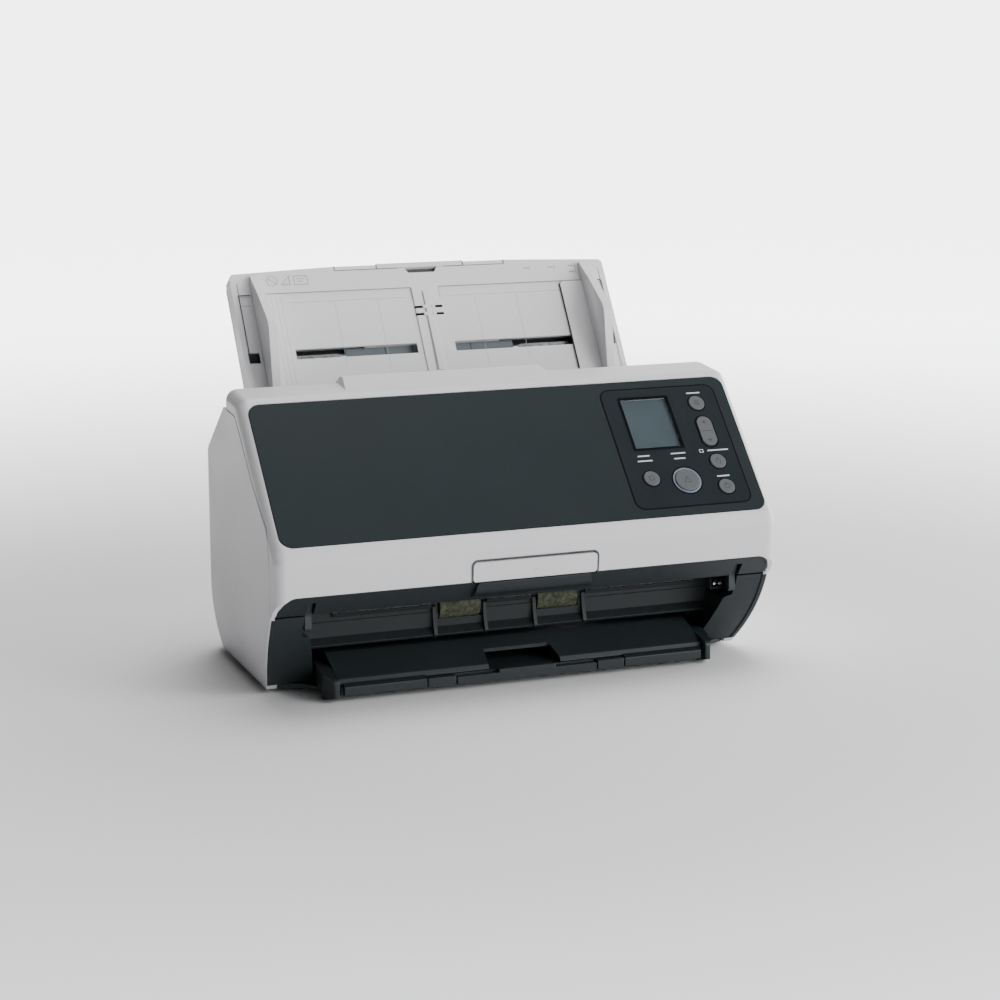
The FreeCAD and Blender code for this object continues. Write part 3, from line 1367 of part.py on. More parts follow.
def make_side_guide(name, sign):
    """Side guide: tall fence, sole plate, and the stem and rack behind the chute."""
    body = new_body(f"side_guide_{name}", chute_frame())
    x0, x1 = sorted((sign * dim("guide_plate_inner"), sign * (dim("fence_x") + 1.0)))
    sole = add_sketch(body, rectangle(x0, FENCE_LOW, x1, PLATE_TOP, 2.5), name="sole")
    add_pad(body, sole, 1.4, offset=-RECESS + 0.3)
    fence = body.newObject("Sketcher::SketchObject", "fence")
    fence.AttachmentSupport = [(origin_plane(body, "YZ_Plane"), "")]
    fence.MapMode = "FlatFace"
    start = min(sign * dim("fence_x"), sign * (dim("fence_x") + dim("fence_thickness")))
    fence.AttachmentOffset = FreeCAD.Placement(Vector(0, 0, start), FreeCAD.Rotation())
    for curve in outline_curves([
        (FENCE_LOW, -RECESS + 0.3, 0), (FENCE_LOW + 3.0, 3.0, 3), (-23.0, 8.5, 10), (-2.0, 18.0, 10),
        (10.0, 23.5, 12), (PLATE_TOP - 4.0, 11.5, 20), (FENCE_HIGH, 2.4, 2),
        (FENCE_HIGH, 0.4, 0), (PLATE_TOP + 0.8, 0.4, 0), (PLATE_TOP, -RECESS + 0.3, 0),
    ]):
        fence.addGeometry(curve, False)
    pad = body.newObject("PartDesign::Pad", "fence_pad")
    pad.Profile = fence
    pad.setExpression("Length", "dims.fence_thickness")
    doc.recompute()
    x0, x1 = sorted((sign * 91.5, sign * 97.5))
    layer = -dim("chute_skin") - 0.5
    stem = add_sketch(body, rectangle(x0, -2.6, x1, 2.6), name="stem")
    add_pad(body, stem, -layer - 0.4, offset=layer - 0.1)
    rack_low = dim("pinion_radius") + 0.3
    foot = add_sketch(body, rectangle(x0, -rack_low - 4.0 if sign > 0 else -2.6, x1,
                                      2.6 if sign > 0 else rack_low + 4.0), name="rack_foot")
    add_pad(body, foot, "dims.rack_height", offset=layer - dim("rack_height"))
    x0, x1 = sorted((sign * 97.5, sign * -12.0))
    low, high = (rack_low, rack_low + 4.0) if sign < 0 else (-rack_low - 4.0, -rack_low)
    rack = add_sketch(body, rectangle(x0, low, x1, high), name="rack")
    add_pad(body, rack, "dims.rack_height", offset=layer - dim("rack_height"))


def make_pinion():
    """Pinion that ties the two guides together, on its own pin."""
    layer = -dim("chute_skin") - 0.5
    place = chute_frame().multiply(FreeCAD.Placement(
        Vector(0, 0, layer - dim("rack_height")), FreeCAD.Rotation()))
    keep(add_cylinder("guide_pinion", "dims.pinion_radius", "dims.rack_height", place),
         "guide_pinion")


def make_extensions():
    """Two flat slides that pull out of the chute's top, each with its handle."""
    top = CHUTE_TOP_CORNER + 1.6
    body = new_body("chute_extension", chute_frame())
    add_pad(body, add_sketch(body, rectangle(-43.5, -38.0, 43.5, 50.5, 2)), 1.6, offset=-8.0)
    for name, sign in SIDES:
        x0, x1 = sorted((sign * (HANDLE_SPLIT + 0.3), sign * HANDLE_OUTER))
        grip = add_sketch(body, rectangle(x0, 50.2, x1, top - 1.4, 0.3), name="grip_web")
        add_pad(body, grip, 6.4, offset=-9.0)
        bar = add_sketch(body, rectangle(x0, 54.9, x1, top + 1.0, 0.3), name="grip_bar")
        add_pad(body, bar, 6.8, offset=-7.0)
    body = new_body("chute_extension_inner", chute_frame())
    add_pad(body, add_sketch(body, rectangle(-27.5, -34.0, 27.5, 52.0, 2)), 1.5, offset=-9.9)
    web = add_sketch(body, rectangle(-HANDLE_SPLIT, 50.8, HANDLE_SPLIT, top - 1.2, 0.3), name="web")
    add_pad(body, web, 6.8, offset=-9.9)
    bar = add_sketch(body, rectangle(-HANDLE_SPLIT, 55.0, HANDLE_SPLIT, top + 1.8, 0.3), name="bar")
    add_pad(body, bar, 6.4, offset=-6.6)


make_chute_plate()
make_chute_back()
make_slide_bars()
for side_name, side_sign in SIDES:
    make_side_guide(side_name, side_sign)
make_pinion()
make_extensions()


# ---------------------------------------------------------------- stacker

STACKER_FRONT = -88.0
STACKER_SHEET = 1.4


def make_stacker_tray():
    """Outer slide of the stacker: sloping top, side walls and front blocks."""
    side = dim("tray_half_width")
    top = prism("X", [
        (-84.0, 9.4, 0.5), (-82.0, 12.4, 1), (-58.5, 21.6, 4), (20.0, 21.6, 0), (20.0, 19.8, 0),
        (-58.2, 19.8, 4), (-81.4, 10.6, 0.4), (-82.6, 9.4, 0.2),
    ], -side, side)
    pieces = [top]
    for name, sign in SIDES:
        x0, x1 = sorted((sign * (side - 2.0), sign * side))
        pieces.append(prism("X", [
            (-82.5, 6.0, 0), (-82.5, 11.0, 0), (-58.5, 20.6, 4), (20.0, 20.6, 0), (20.0, 6.0, 0),
        ], x0, x1))
        x0, x1 = sorted((sign * 60.3, sign * 108.2))
        pieces.append(prism("X", [
            (STACKER_FRONT, 3.9, 0.6), (STACKER_FRONT, 9.2, 0.8), (-82.4, 10.6, 0), (-82.4, 9.6, 0),
            (-84.4, 7.4, 0), (-84.4, 3.9, 0.3),
        ], x0, x1))
    tray = fuse(pieces)
    notch = prism("Z", [(-24.0, -100.0, 0), (24.0, -100.0, 0), (20.0, -69.0, 2), (-20.0, -69.0, 2)],
                  8.0, 30.0)
    return tray.cut(notch)


def make_stacker_slides():
    """Two nested flat slides of the stacker with their front flanges."""
    body = new_body("stacker_extension")
    plate = add_sketch(body, rectangle(-59.6, -83.6, 59.6, 18.0, 1), name="plate")
    add_pad(body, plate, STACKER_SHEET, offset=7.8)
    for name, sign in SIDES:
        x0, x1 = sorted((sign * 43.0, sign * 59.6))
        flange = add_sketch(body, rectangle(x0, STACKER_FRONT, x1, -83.2, 0.5), name="flange")
        add_pad(body, flange, 5.3, offset=3.9)
    body = new_body("stacker_end")
    plate = add_sketch(body, rectangle(-42.0, -83.6, 42.0, 16.0, 1), name="plate")
    add_pad(body, plate, STACKER_SHEET, offset=6.0)
    flange = add_sketch(body, rectangle(-42.4, STACKER_FRONT, 42.4, -84.0, 0.5), name="flange")
    add_pad(body, flange, 4.4, offset=3.9)
    web = add_sketch(body, rectangle(-41.0, -86.0, 41.0, -83.0), name="web")
    add_pad(body, web, STACKER_SHEET, offset=6.0)
    tab = add_sketch(body, [(-19.0, STACKER_FRONT, 1), (19.0, STACKER_FRONT, 1), (15.0, -84.2, 1),
                            (-15.0, -84.2, 1)], name="finger_tab")
    add_pad(body, tab, 6.4, offset=3.9)


add_shape("stacker_tray", make_stacker_tray())
make_stacker_slides()


# ---------------------------------------------------------------- checks and export

doc.recompute()
for item in doc.Objects:
    if "Invalid" in item.State or "Error" in item.State:
        raise RuntimeError(f"{item.Label} failed to recompute")
for item in parts:
    shape = item.Shape
    if shape.isNull() or not shape.isValid() or not shape.Solids:
        raise RuntimeError(f"{item.Label} has no valid solid")

os.makedirs("parts", exist_ok=True)
for item in parts:
    item.Shape.exportStep(f"parts/{item.Label}.step")

whole = FreeCAD.BoundBox()
for item in parts:
    whole.add(item.Shape.BoundBox)
print(f"{len(parts)} sub-parts, box {whole}")
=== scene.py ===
"""Looks of the sheet fed document scanner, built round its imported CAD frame.

Metres, +Z up, X along the width, -Y towards the operator, as in the frame.
"""

import json
import math
import random

import bmesh
import bpy
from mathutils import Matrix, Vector


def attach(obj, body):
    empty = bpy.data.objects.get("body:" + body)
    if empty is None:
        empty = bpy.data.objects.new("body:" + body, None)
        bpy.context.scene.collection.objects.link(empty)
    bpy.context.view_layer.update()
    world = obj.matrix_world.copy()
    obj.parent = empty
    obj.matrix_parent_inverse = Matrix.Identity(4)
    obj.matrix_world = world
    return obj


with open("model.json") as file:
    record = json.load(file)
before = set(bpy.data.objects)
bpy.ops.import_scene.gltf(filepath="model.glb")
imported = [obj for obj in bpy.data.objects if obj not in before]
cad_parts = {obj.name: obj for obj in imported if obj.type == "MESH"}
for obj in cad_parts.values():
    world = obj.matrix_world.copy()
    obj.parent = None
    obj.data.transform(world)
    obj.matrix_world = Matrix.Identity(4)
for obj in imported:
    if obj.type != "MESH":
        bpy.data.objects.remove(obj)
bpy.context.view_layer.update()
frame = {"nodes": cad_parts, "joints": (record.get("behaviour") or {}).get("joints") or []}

MM = 0.001
NODES = frame["nodes"]


# ---------------------------------------------------------------- camera and stage

CAMERA_PLACE = Vector((-480.6, -1299.6, 383.5)) * MM
CAMERA_AZIMUTH = math.radians(20.94)
CAMERA_ELEVATION = math.radians(12.0)
CAMERA_LENS = 86.04
CAMERA_SENSOR = 36.0
CAMERA_CLIP = (0.05, 400.0)

LAMP_TARGET = Vector((0.0, 0.0, 0.08))
# name, place, size in metres, power in watts
LAMPS = (
    ("key_light", (1.2, -1.3, 0.9), 0.8, 15.0),
    ("rim_light", (0.6, 1.0, 1.3), 0.9, 6.0),
    ("top_light", (0.2, 0.3, 1.9), 1.2, 21.0),
)

# each row: from low, from high, to low, to high
SKY_BY_HEIGHT = (0.05, 0.75, 5.0, 0.40)
SKY_BY_SIDE = (-0.30, 0.70, 0.02, 1.0)
GLOW_BY_DISTANCE = (0.24, 1.6, 0.0, 4.5)
GLOW_BY_SIDE = (-0.75, -0.2, 0.0, 1.0)

SKY_TINT = (0.98, 0.985, 1.0, 1.0)
FLOOR_RINGS = (0.5, 1.2, 3.0, 8.0, 40.0, 160.0)
FLOOR_STEPS = 48


def make_camera():
    """Camera at the viewing angle of the reference."""
    data = bpy.data.cameras.new("camera")
    data.lens = CAMERA_LENS
    data.sensor_width = CAMERA_SENSOR
    data.clip_start, data.clip_end = CAMERA_CLIP
    camera = bpy.data.objects.new("camera", data)
    bpy.context.scene.collection.objects.link(camera)
    flat = math.cos(CAMERA_ELEVATION)
    look = Vector((math.sin(CAMERA_AZIMUTH) * flat, math.cos(CAMERA_AZIMUTH) * flat,
                   -math.sin(CAMERA_ELEVATION)))
    camera.location = CAMERA_PLACE
    camera.rotation_mode = "QUATERNION"
    camera.rotation_quaternion = look.to_track_quat("-Z", "Y")
    bpy.context.scene.camera = camera


def area_light(name, place, size, power):
    """A soft square lamp that faces the object."""
    data = bpy.data.lights.new(name, "AREA")
    data.shape = "SQUARE"
    data.size = size
    data.energy = power
    lamp = bpy.data.objects.new(name, data)
    bpy.context.scene.collection.objects.link(lamp)
    lamp.location = place
    lamp.rotation_mode = "QUATERNION"
    lamp.rotation_quaternion = (LAMP_TARGET - Vector(place)).to_track_quat("-Z", "Y")


def set_range(node, low, high, to_low, to_high):
    """Fill in the four limits of a Map Range node."""
    for name, number in (("From Min", low), ("From Max", high), ("To Min", to_low),
                         ("To Max", to_high)):
        node.inputs[name].default_value = number


def sky_share(tree, value, limits):
    """A smooth change of the sky's strength with one part of the direction."""
    made = tree.nodes.new("ShaderNodeMapRange")
    made.interpolation_type = "SMOOTHSTEP"
    set_range(made, *limits)
    tree.links.new(value, made.inputs["Value"])
    return made.outputs["Result"]


def make_sky():
    """Studio walls, bright near the horizon and on the right, dim overhead and on the left."""
    world = bpy.data.worlds.new("studio")
    world.use_nodes = True
    tree = world.node_tree
    background = tree.nodes["Background"]
    direction = tree.nodes.new("ShaderNodeTexCoord").outputs["Generated"]
    split = tree.nodes.new("ShaderNodeSeparateXYZ")
    tree.links.new(direction, split.inputs["Vector"])
    product = tree.nodes.new("ShaderNodeMath")
    product.operation = "MULTIPLY"
    tree.links.new(sky_share(tree, split.outputs["Z"], SKY_BY_HEIGHT), product.inputs[0])
    tree.links.new(sky_share(tree, split.outputs["X"], SKY_BY_SIDE), product.inputs[1])
    tree.links.new(product.outputs["Value"], background.inputs["Strength"])
    background.inputs["Color"].default_value = SKY_TINT
    bpy.context.scene.world = world


def make_stage():
    """Pale floor that brightens with distance, the studio walls and three large lamps."""
    make_sky()
    for name, place, size, power in LAMPS:
        area_light(name, place, size, power)
    mesh = bpy.data.meshes.new("floor")
    steps = FLOOR_STEPS
    points = [(0.0, 0.0, 0.0)]
    for reach in FLOOR_RINGS:
        points += [(x, y, 0.0) for x, y in circle(0.0, 0.0, reach, steps)]
    faces = [(0, 1 + k, 1 + (k + 1) % steps) for k in range(steps)]
    for ring in range(len(FLOOR_RINGS) - 1):
        low, high = 1 + ring * steps, 1 + (ring + 1) * steps
        faces += [(low + k, high + k, high + (k + 1) % steps, low + (k + 1) % steps)
                  for k in range(steps)]
    mesh.from_pydata(points, [], faces)
    floor = bpy.data.objects.new("floor", mesh)
    bpy.context.scene.collection.objects.link(floor)
    floor.data.materials.append(make_floor_material())


# ---------------------------------------------------------------- material graphs

EDGE_SAMPLES = 4
EDGE_DROP = (0.02, 0.35)
EDGE_RADIUS = 0.0007


class Graph:
    """A short way to write a shader's nodes and links."""

    def __init__(self, name):
        self.material = bpy.data.materials.new(name)
        self.material.use_nodes = True
        self.tree = self.material.node_tree
        self.shader = self.tree.nodes["Principled BSDF"]

    def add(self, kind, settings=None, **inputs):
        """A node with its properties and its input values or links."""
        made = self.tree.nodes.new("ShaderNode" + kind)
        for key, value in (settings or {}).items():
            setattr(made, key, value)
        for key, value in inputs.items():
            self.feed(made, key.replace("_", " "), value)
        return made

    def feed(self, target, name, value):
        """Set one input, from a value or from another node's output."""
        socket = target.inputs[int(name)] if name.isdigit() else target.inputs[name]
        if isinstance(value, bpy.types.NodeSocket):
            self.tree.links.new(value, socket)
        else:
            socket.default_value = value

    def place(self):
        """The object's own coordinates, in metres."""
        return self.add("TexCoord").outputs["Object"]

    def noise(self, scale, detail=2.0, rough=0.5, vector=None):
        """Fractal noise from 0 to 1, at a scale per metre."""
        made = self.add("TexNoise", Vector=vector or self.place(), Scale=scale, Detail=detail,
                        Roughness=rough)
        return made.outputs["Fac"]

    def ramp(self, value, low, high, to_low, to_high, kind="LINEAR"):
        """A clamped change of range."""
        made = self.add("MapRange", {"clamp": True, "interpolation_type": kind}, Value=value)
        set_range(made, low, high, to_low, to_high)
        return made.outputs["Result"]

    def math(self, operation, first, second=0.0):
        """The result of one operation on two numbers."""
        made = self.add("Math", {"operation": operation})
        self.feed(made, "0", first)
        self.feed(made, "1", second)
        return made.outputs[0]

    def mix(self, share, first, second):
        """A blend of two colours."""
        made = self.add("Mix", {"data_type": "RGBA"})
        self.feed(made, "0", share)
        self.feed(made, "6", first)
        self.feed(made, "7", second)
        return made.outputs[2]

    def edges(self, radius):
        """From 0 on open faces to 1 along edges, found by rounding them over a radius."""
        round_normal = self.add("Bevel", {"samples": EDGE_SAMPLES}, Radius=radius).outputs["Normal"]
        true_normal = self.add("NewGeometry").outputs["Normal"]
        dot = self.add("VectorMath", {"operation": "DOT_PRODUCT"})
        self.feed(dot, "0", round_normal)
        self.feed(dot, "1", true_normal)
        drop = self.math("SUBTRACT", 1.0, dot.outputs["Value"])
        return self.ramp(drop, *EDGE_DROP, 0.0, 1.0)


def shade(colour, factor):
    """A colour made lighter or darker, with its alpha."""
    return tuple(min(1.0, channel * factor) for channel in colour[:3]) + (1.0,)


def moulded_plastic(name, colour, roughness=0.42, grain=1500.0, depth=0.02, mottle=0.05,
                    wear=0.35, lighter=1.35, specular=0.4):
    """Spark-eroded moulded plastic: fine grain, slight colour drift and rubbed edges."""
    graph = Graph(name)
    drift = graph.noise(14.0, 3.0, 0.6)
    speck = graph.noise(420.0, 2.0, 0.7)
    blotch = graph.math("ADD", graph.math("MULTIPLY", drift, 0.7),
                        graph.math("MULTIPLY", speck, 0.3))
    tone = graph.ramp(blotch, 0.3, 0.7, 0.0, 1.0)
    base = graph.mix(tone, shade(colour, 1 - mottle), shade(colour, 1 + mottle))
    patch = graph.ramp(graph.noise(60.0, 4.0, 0.65), 0.42, 0.62, 0.15, 1.0)
    rub = graph.math("MULTIPLY", graph.math("MULTIPLY", graph.edges(EDGE_RADIUS), patch), wear)
    graph.feed(graph.shader, "Base Color", graph.mix(rub, base, shade(colour, lighter)))
    polish = graph.math("MULTIPLY", rub, -0.18)
    rough = graph.ramp(graph.noise(35.0, 4.0, 0.6), 0.3, 0.7, roughness - 0.05, roughness + 0.06)
    graph.feed(graph.shader, "Roughness", graph.math("ADD", rough, polish))
    cells = graph.add("TexVoronoi", {"feature": "SMOOTH_F1"}, Vector=graph.place(), Scale=grain)
    height = graph.math("ADD", cells.outputs["Distance"], graph.noise(grain * 0.7, 3.0, 0.6))
    bump = graph.add("Bump", Strength=0.35, Distance=depth * MM, Height=height)
    graph.feed(graph.shader, "Normal", bump.outputs["Normal"])
    graph.shader.inputs["Specular IOR Level"].default_value = specular
    return graph.material


def make_floor_material():
    """Pale seamless studio paper that glows away from the object, except on the left."""
    graph = Graph("studio_paper")
    fibre = graph.noise(220.0, 4.0, 0.6)
    graph.feed(graph.shader, "Base Color",
               graph.mix(fibre, (0.88, 0.88, 0.885, 1.0), (0.92, 0.92, 0.925, 1.0)))
    graph.shader.inputs["Roughness"].default_value = 0.9
    graph.shader.inputs["Specular IOR Level"].default_value = 0.1
    distance = graph.add("VectorMath", {"operation": "LENGTH"})
    graph.feed(distance, "0", graph.place())
    glow = graph.ramp(distance.outputs["Value"], *GLOW_BY_DISTANCE, "SMOOTHSTEP")
    graph.shader.inputs["Emission Color"].default_value = (1.0, 1.0, 1.0, 1.0)
    split = graph.add("SeparateXYZ", Vector=graph.place())
    share = graph.ramp(split.outputs["X"], *GLOW_BY_SIDE)
    graph.feed(graph.shader, "Emission Strength", graph.math("MULTIPLY", glow, share))
    bump = graph.add("Bump", Strength=0.1, Distance=0.0001, Height=fibre)
    graph.feed(graph.shader, "Normal", bump.outputs["Normal"])
    return graph.material


def ground_steel(name, colour=(0.56, 0.57, 0.58), roughness=0.32, along=(1.0, 60.0, 60.0),
                 scale=40.0):
    """Ground steel with fine lines along one direction."""
    graph = Graph(name)
    stretched = graph.add("Mapping", Vector=graph.place(), Scale=along).outputs["Vector"]
    lines = graph.noise(scale, 3.0, 0.6, stretched)
    smudge = graph.noise(45.0, 3.0, 0.6)
    graph.feed(graph.shader, "Base Color",
               graph.mix(graph.ramp(smudge, 0.35, 0.7, 0.0, 1.0), shade(colour, 0.82),
                         shade(colour, 1.08)))
    graph.feed(graph.shader, "Roughness",
               graph.math("ADD", graph.ramp(lines, 0.3, 0.7, -0.08, 0.1),
                          graph.ramp(smudge, 0.3, 0.7, roughness, roughness + 0.12)))
    graph.shader.inputs["Metallic"].default_value = 1.0
    bump = graph.add("Bump", Strength=0.25, Distance=0.00002, Height=lines)
    graph.feed(graph.shader, "Normal", bump.outputs["Normal"])
    return graph.material


def rubber(name, colour, roughness=0.75, lines=900.0, bloom_and_sheen=1.35, patches=90.0):
    """Ground rubber: dull, with fine marks and lighter patches: a dusty bloom, and painted sheen
    where they are made much lighter.
    """
    graph = Graph(name)
    dust_and_sheen = graph.ramp(graph.noise(patches, 5.0, 0.7), 0.4, 0.75, 0.0, 1.0)
    graph.feed(graph.shader, "Base Color",
               graph.mix(dust_and_sheen, shade(colour, 0.85), shade(colour, bloom_and_sheen)))
    graph.feed(graph.shader, "Roughness",
               graph.ramp(graph.noise(150.0, 3.0, 0.6), 0.3, 0.7, roughness - 0.1, roughness + 0.1))
    marks = graph.noise(lines, 4.0, 0.7)
    bump = graph.add("Bump", Strength=0.5, Distance=0.00008, Height=marks)
    graph.feed(graph.shader, "Normal", bump.outputs["Normal"])
    graph.shader.inputs["Specular IOR Level"].default_value = 0.25
    return graph.material


def clear_window(name, tint):
    """Clear moulded window with faint smudges."""
    graph = Graph(name)
    smudge = graph.noise(70.0, 4.0, 0.6)
    graph.shader.inputs["Base Color"].default_value = shade(tint, 1.0)
    graph.feed(graph.shader, "Roughness", graph.ramp(smudge, 0.35, 0.75, 0.04, 0.16))
    graph.shader.inputs["Transmission Weight"].default_value = 1.0
    graph.shader.inputs["IOR"].default_value = 1.49
    graph.shader.inputs["Specular IOR Level"].default_value = 0.25
    bump = graph.add("Bump", Strength=0.05, Distance=0.00005, Height=smudge)
    graph.feed(graph.shader, "Normal", bump.outputs["Normal"])
    return graph.material


def display_face(name):
    """Unlit liquid crystal screen: slate blue, with a fine grid of cells."""
    graph = Graph(name)
    grid = graph.add("Mapping", Vector=graph.place(), Scale=(2600.0, 2600.0, 0.0))
    cells = graph.add("TexBrick", {"offset": 0.0}, Vector=grid.outputs["Vector"], Scale=1.0)
    cells.inputs["Color1"].default_value = (0.118, 0.164, 0.182, 1.0)
    cells.inputs["Color2"].default_value = (0.126, 0.172, 0.190, 1.0)
    cells.inputs["Mortar"].default_value = (0.084, 0.123, 0.141, 1.0)
    cloud = graph.ramp(graph.noise(30.0, 3.0, 0.6), 0.35, 0.65, 0.0, 0.35)
    graph.feed(graph.shader, "Base Color",
               graph.mix(cloud, cells.outputs["Color"], (0.128, 0.165, 0.180, 1.0)))
    graph.feed(graph.shader, "Roughness", graph.ramp(graph.noise(50.0), 0.3, 0.7, 0.35, 0.5))
    bump = graph.add("Bump", Strength=0.2, Distance=0.00001, Height=cells.outputs["Fac"])
    graph.feed(graph.shader, "Normal", bump.outputs["Normal"])
    return graph.material


def circuit_board(name):
    """Green solder mask over faint tracks."""
    graph = Graph(name)
    cells = graph.add("TexVoronoi", {"feature": "DISTANCE_TO_EDGE"},
                      Vector=graph.place(), Scale=320.0)
    track = graph.ramp(cells.outputs["Distance"], 0.03, 0.06, 1.0, 0.0)
    graph.feed(graph.shader, "Base Color",
               graph.mix(track, (0.012, 0.075, 0.03, 1.0), (0.03, 0.16, 0.06, 1.0)))
    graph.feed(graph.shader, "Roughness", graph.ramp(graph.noise(60.0), 0.3, 0.7, 0.25, 0.4))
    bump = graph.add("Bump", Strength=0.4, Distance=0.00003, Height=track)
    graph.feed(graph.shader, "Normal", bump.outputs["Normal"])
    return graph.material


MATERIALS = {
    "light_shell": moulded_plastic("light_shell", (0.60, 0.60, 0.615), 0.42, mottle=0.02,
                                   wear=0.25, lighter=1.15),
    "chute": moulded_plastic("chute_plastic", (0.65, 0.65, 0.66), 0.38, mottle=0.02, wear=0.25,
                             lighter=1.15),
    "chute_grey": moulded_plastic("chute_grey", (0.20, 0.225, 0.24), 0.40, mottle=0.04, wear=0.2),
    "panel": moulded_plastic("dark_panel", (0.0155, 0.0215, 0.0235), 0.46, grain=2200.0,
                             depth=0.01, wear=0.3, lighter=1.8, specular=0.12),
    "bezel": moulded_plastic("bezel_panel", (0.0105, 0.0150, 0.0172), 0.44, grain=2200.0,
                             depth=0.01, wear=0.3, lighter=2.0, specular=0.12),
    "screen": display_face("display_face"),
    "white": moulded_plastic("white_print", (0.55, 0.58, 0.60), 0.5, grain=2600.0, depth=0.003,
                             wear=0.1, lighter=1.1),
    "mark": moulded_plastic("dark_mark", (0.036, 0.040, 0.043), 0.5, grain=2600.0, depth=0.003,
                            wear=0.1),
    # raised figures, mould lines and the tab's mark: this colour, darker than the chute, is painted
    # shade
    "emboss_shade": moulded_plastic("emboss_painted_shade", (0.33, 0.335, 0.345), 0.42, mottle=0.02,
                              wear=0.2),
    "groove": moulded_plastic("shaded_groove", (0.075, 0.077, 0.082), 0.55, wear=0.1, specular=0.2),
    # extension plates seen through the slots, darker than the extension's own light plastic:
    # painted shade
    "extension_shade": moulded_plastic("extension_painted_shade", (0.15, 0.175, 0.190), 0.42, wear=0.2),
    "shade": moulded_plastic("shaded_edge", (0.27, 0.275, 0.285), 0.5, wear=0.1),
    # steel bristles in light grey plastic: the lightness is painted glint of the metal
    "bristle_glint": moulded_plastic("brush_bristles", (0.24, 0.25, 0.25), 0.35, wear=0.2, lighter=2.0),
    "black_steel": moulded_plastic("blackened_steel", (0.020, 0.026, 0.029), 0.40, wear=0.5,
                                   lighter=2.5, specular=0.35),
    "trim": moulded_plastic("dark_trim", (0.0130, 0.0170, 0.0190), 0.45, wear=0.4, lighter=2.6,
                            specular=0.28),
    "tray": moulded_plastic("tray_trim", (0.0170, 0.0225, 0.0250), 0.42, wear=0.5, lighter=2.4,
                            specular=0.35),
    "key": moulded_plastic("key_grey", (0.080, 0.087, 0.092), 0.46, grain=2400.0, depth=0.008,
                           wear=0.3),
    "black": moulded_plastic("black_moulding", (0.012, 0.013, 0.014), 0.5, wear=0.3, lighter=2.5),
    "gap": moulded_plastic("dark_gap", (0.0022, 0.0026, 0.0030), 0.6, wear=0.0, specular=0.05),
    "rim": moulded_plastic("ring_rim", (0.20, 0.245, 0.30), 0.3, grain=3000.0, depth=0.003,
                           wear=0.1, lighter=1.2),
    "ring": moulded_plastic("light_ring", (0.12, 0.155, 0.20), 0.25, grain=3000.0, depth=0.003,
                            wear=0.1, lighter=1.2),
    "natural": moulded_plastic("natural_plastic", (0.62, 0.61, 0.57), 0.4, wear=0.1),
    # olive rollers: the patches lightened more than threefold are painted highlights of the ribbed
    # rubber
    "olive": rubber("olive_rubber", (0.040, 0.045, 0.028), bloom_and_sheen=3.4, patches=420.0),
    "belt": rubber("belt_rubber", (0.012, 0.012, 0.012)),
    "foot": rubber("foot_rubber", (0.02, 0.02, 0.02)),
    "steel": ground_steel("ground_steel"),
    "sheet": ground_steel("plated_sheet", (0.55, 0.56, 0.55), 0.42, (8.0, 8.0, 8.0), 12.0),
    "plated": ground_steel("plated_steel", (0.66, 0.67, 0.68), 0.2, (6.0, 6.0, 6.0), 30.0),
    "motor": ground_steel("motor_case", (0.30, 0.31, 0.32), 0.38, (1.0, 30.0, 30.0), 30.0),
    "window": clear_window("display_window", (0.80, 0.86, 0.88)),
    "glass": clear_window("scan_glass", (0.90, 0.94, 0.93)),
    "board": circuit_board("circuit_board"),
}

NODE_LOOKS = {
    "light_shell": ("lid_shell", "side_panel_left", "side_panel_right", "rear_cover", "cover_tab"),
    "chute": ("chute_plate", "side_guide_left", "side_guide_right", "chute_extension",
              "chute_extension_inner"),
    "chute_grey": ("chute_back_cover",),
    "panel": ("fascia_panel",),
    "bezel": ("control_bezel",),
    "trim": ("front_bezel", "lid_inner_guide", "lower_paper_guide"),
    "tray": ("base_tray", "stacker_tray", "stacker_extension", "stacker_end"),
    "key": ("menu_button", "feed_button", "power_button", "stop_button", "rocker_key",
            "scan_button"),
    "ring": ("scan_light_ring",),
    "window": ("display_window",),
    "screen": ("display_module",),
    "black": ("upper_scan_unit", "lower_scan_unit", "dc_jack"),
    "board": ("control_board", "main_board"),
    "glass": ("upper_scan_glass", "lower_scan_glass"),
    "olive": ("feed_rollers", "pick_rollers", "eject_rollers", "brake_roller"),
    "natural": ("feed_idler", "eject_idler", "guide_pinion", "motor_pulley", "shaft_bushes"),
    "belt": ("drive_belt", "pick_belt"),
    "foot": ("rubber_feet",),
    "steel": ("feed_shaft", "pick_shaft", "eject_shaft", "hinge_pins", "chute_slide_bars"),
    "black_steel": ("latch_bar",),
    "sheet": ("side_frames",),
    "motor": ("feed_motor",),
    "plated": ("case_screws", "usb_socket", "lan_socket"),
}


# ---------------------------------------------------------------- finish of the CAD nodes

EDGE_WIDTH = {
    "light_shell": 0.9,
    "chute": 0.4,
    "trim": 0.35,
    "tray": 0.35,
    "panel": 0.25,
}
PLAIN_EDGE_WIDTH = 0.15
WELD_REACH = 0.000005
SHARP_ANGLE = math.radians(32.0)
NODE_FACE_WEIGHT = 60


def dress_nodes():
    """Give every CAD node its material, broken edges and clean shading."""
    for look, names in NODE_LOOKS.items():
        for name in names:
            item = NODES[name]
            item.data.materials.clear()
            item.data.materials.append(MATERIALS[look])
            soften(item, EDGE_WIDTH.get(look, PLAIN_EDGE_WIDTH))


def break_edges(item, width):
    """Round the sharp edges over a width in millimetres."""
    bevel = item.modifiers.new("broken_edges", "BEVEL")
    bevel.width = width * MM
    bevel.segments = 2
    bevel.limit_method = "ANGLE"
    bevel.angle_limit = SHARP_ANGLE


def even_shading(item):
    """Let the large faces set the shading of the small ones between them."""
    for face in item.data.polygons:
        face.use_smooth = True
    even = item.modifiers.new("even_shading", "WEIGHTED_NORMAL")
    even.keep_sharp = True
    return even


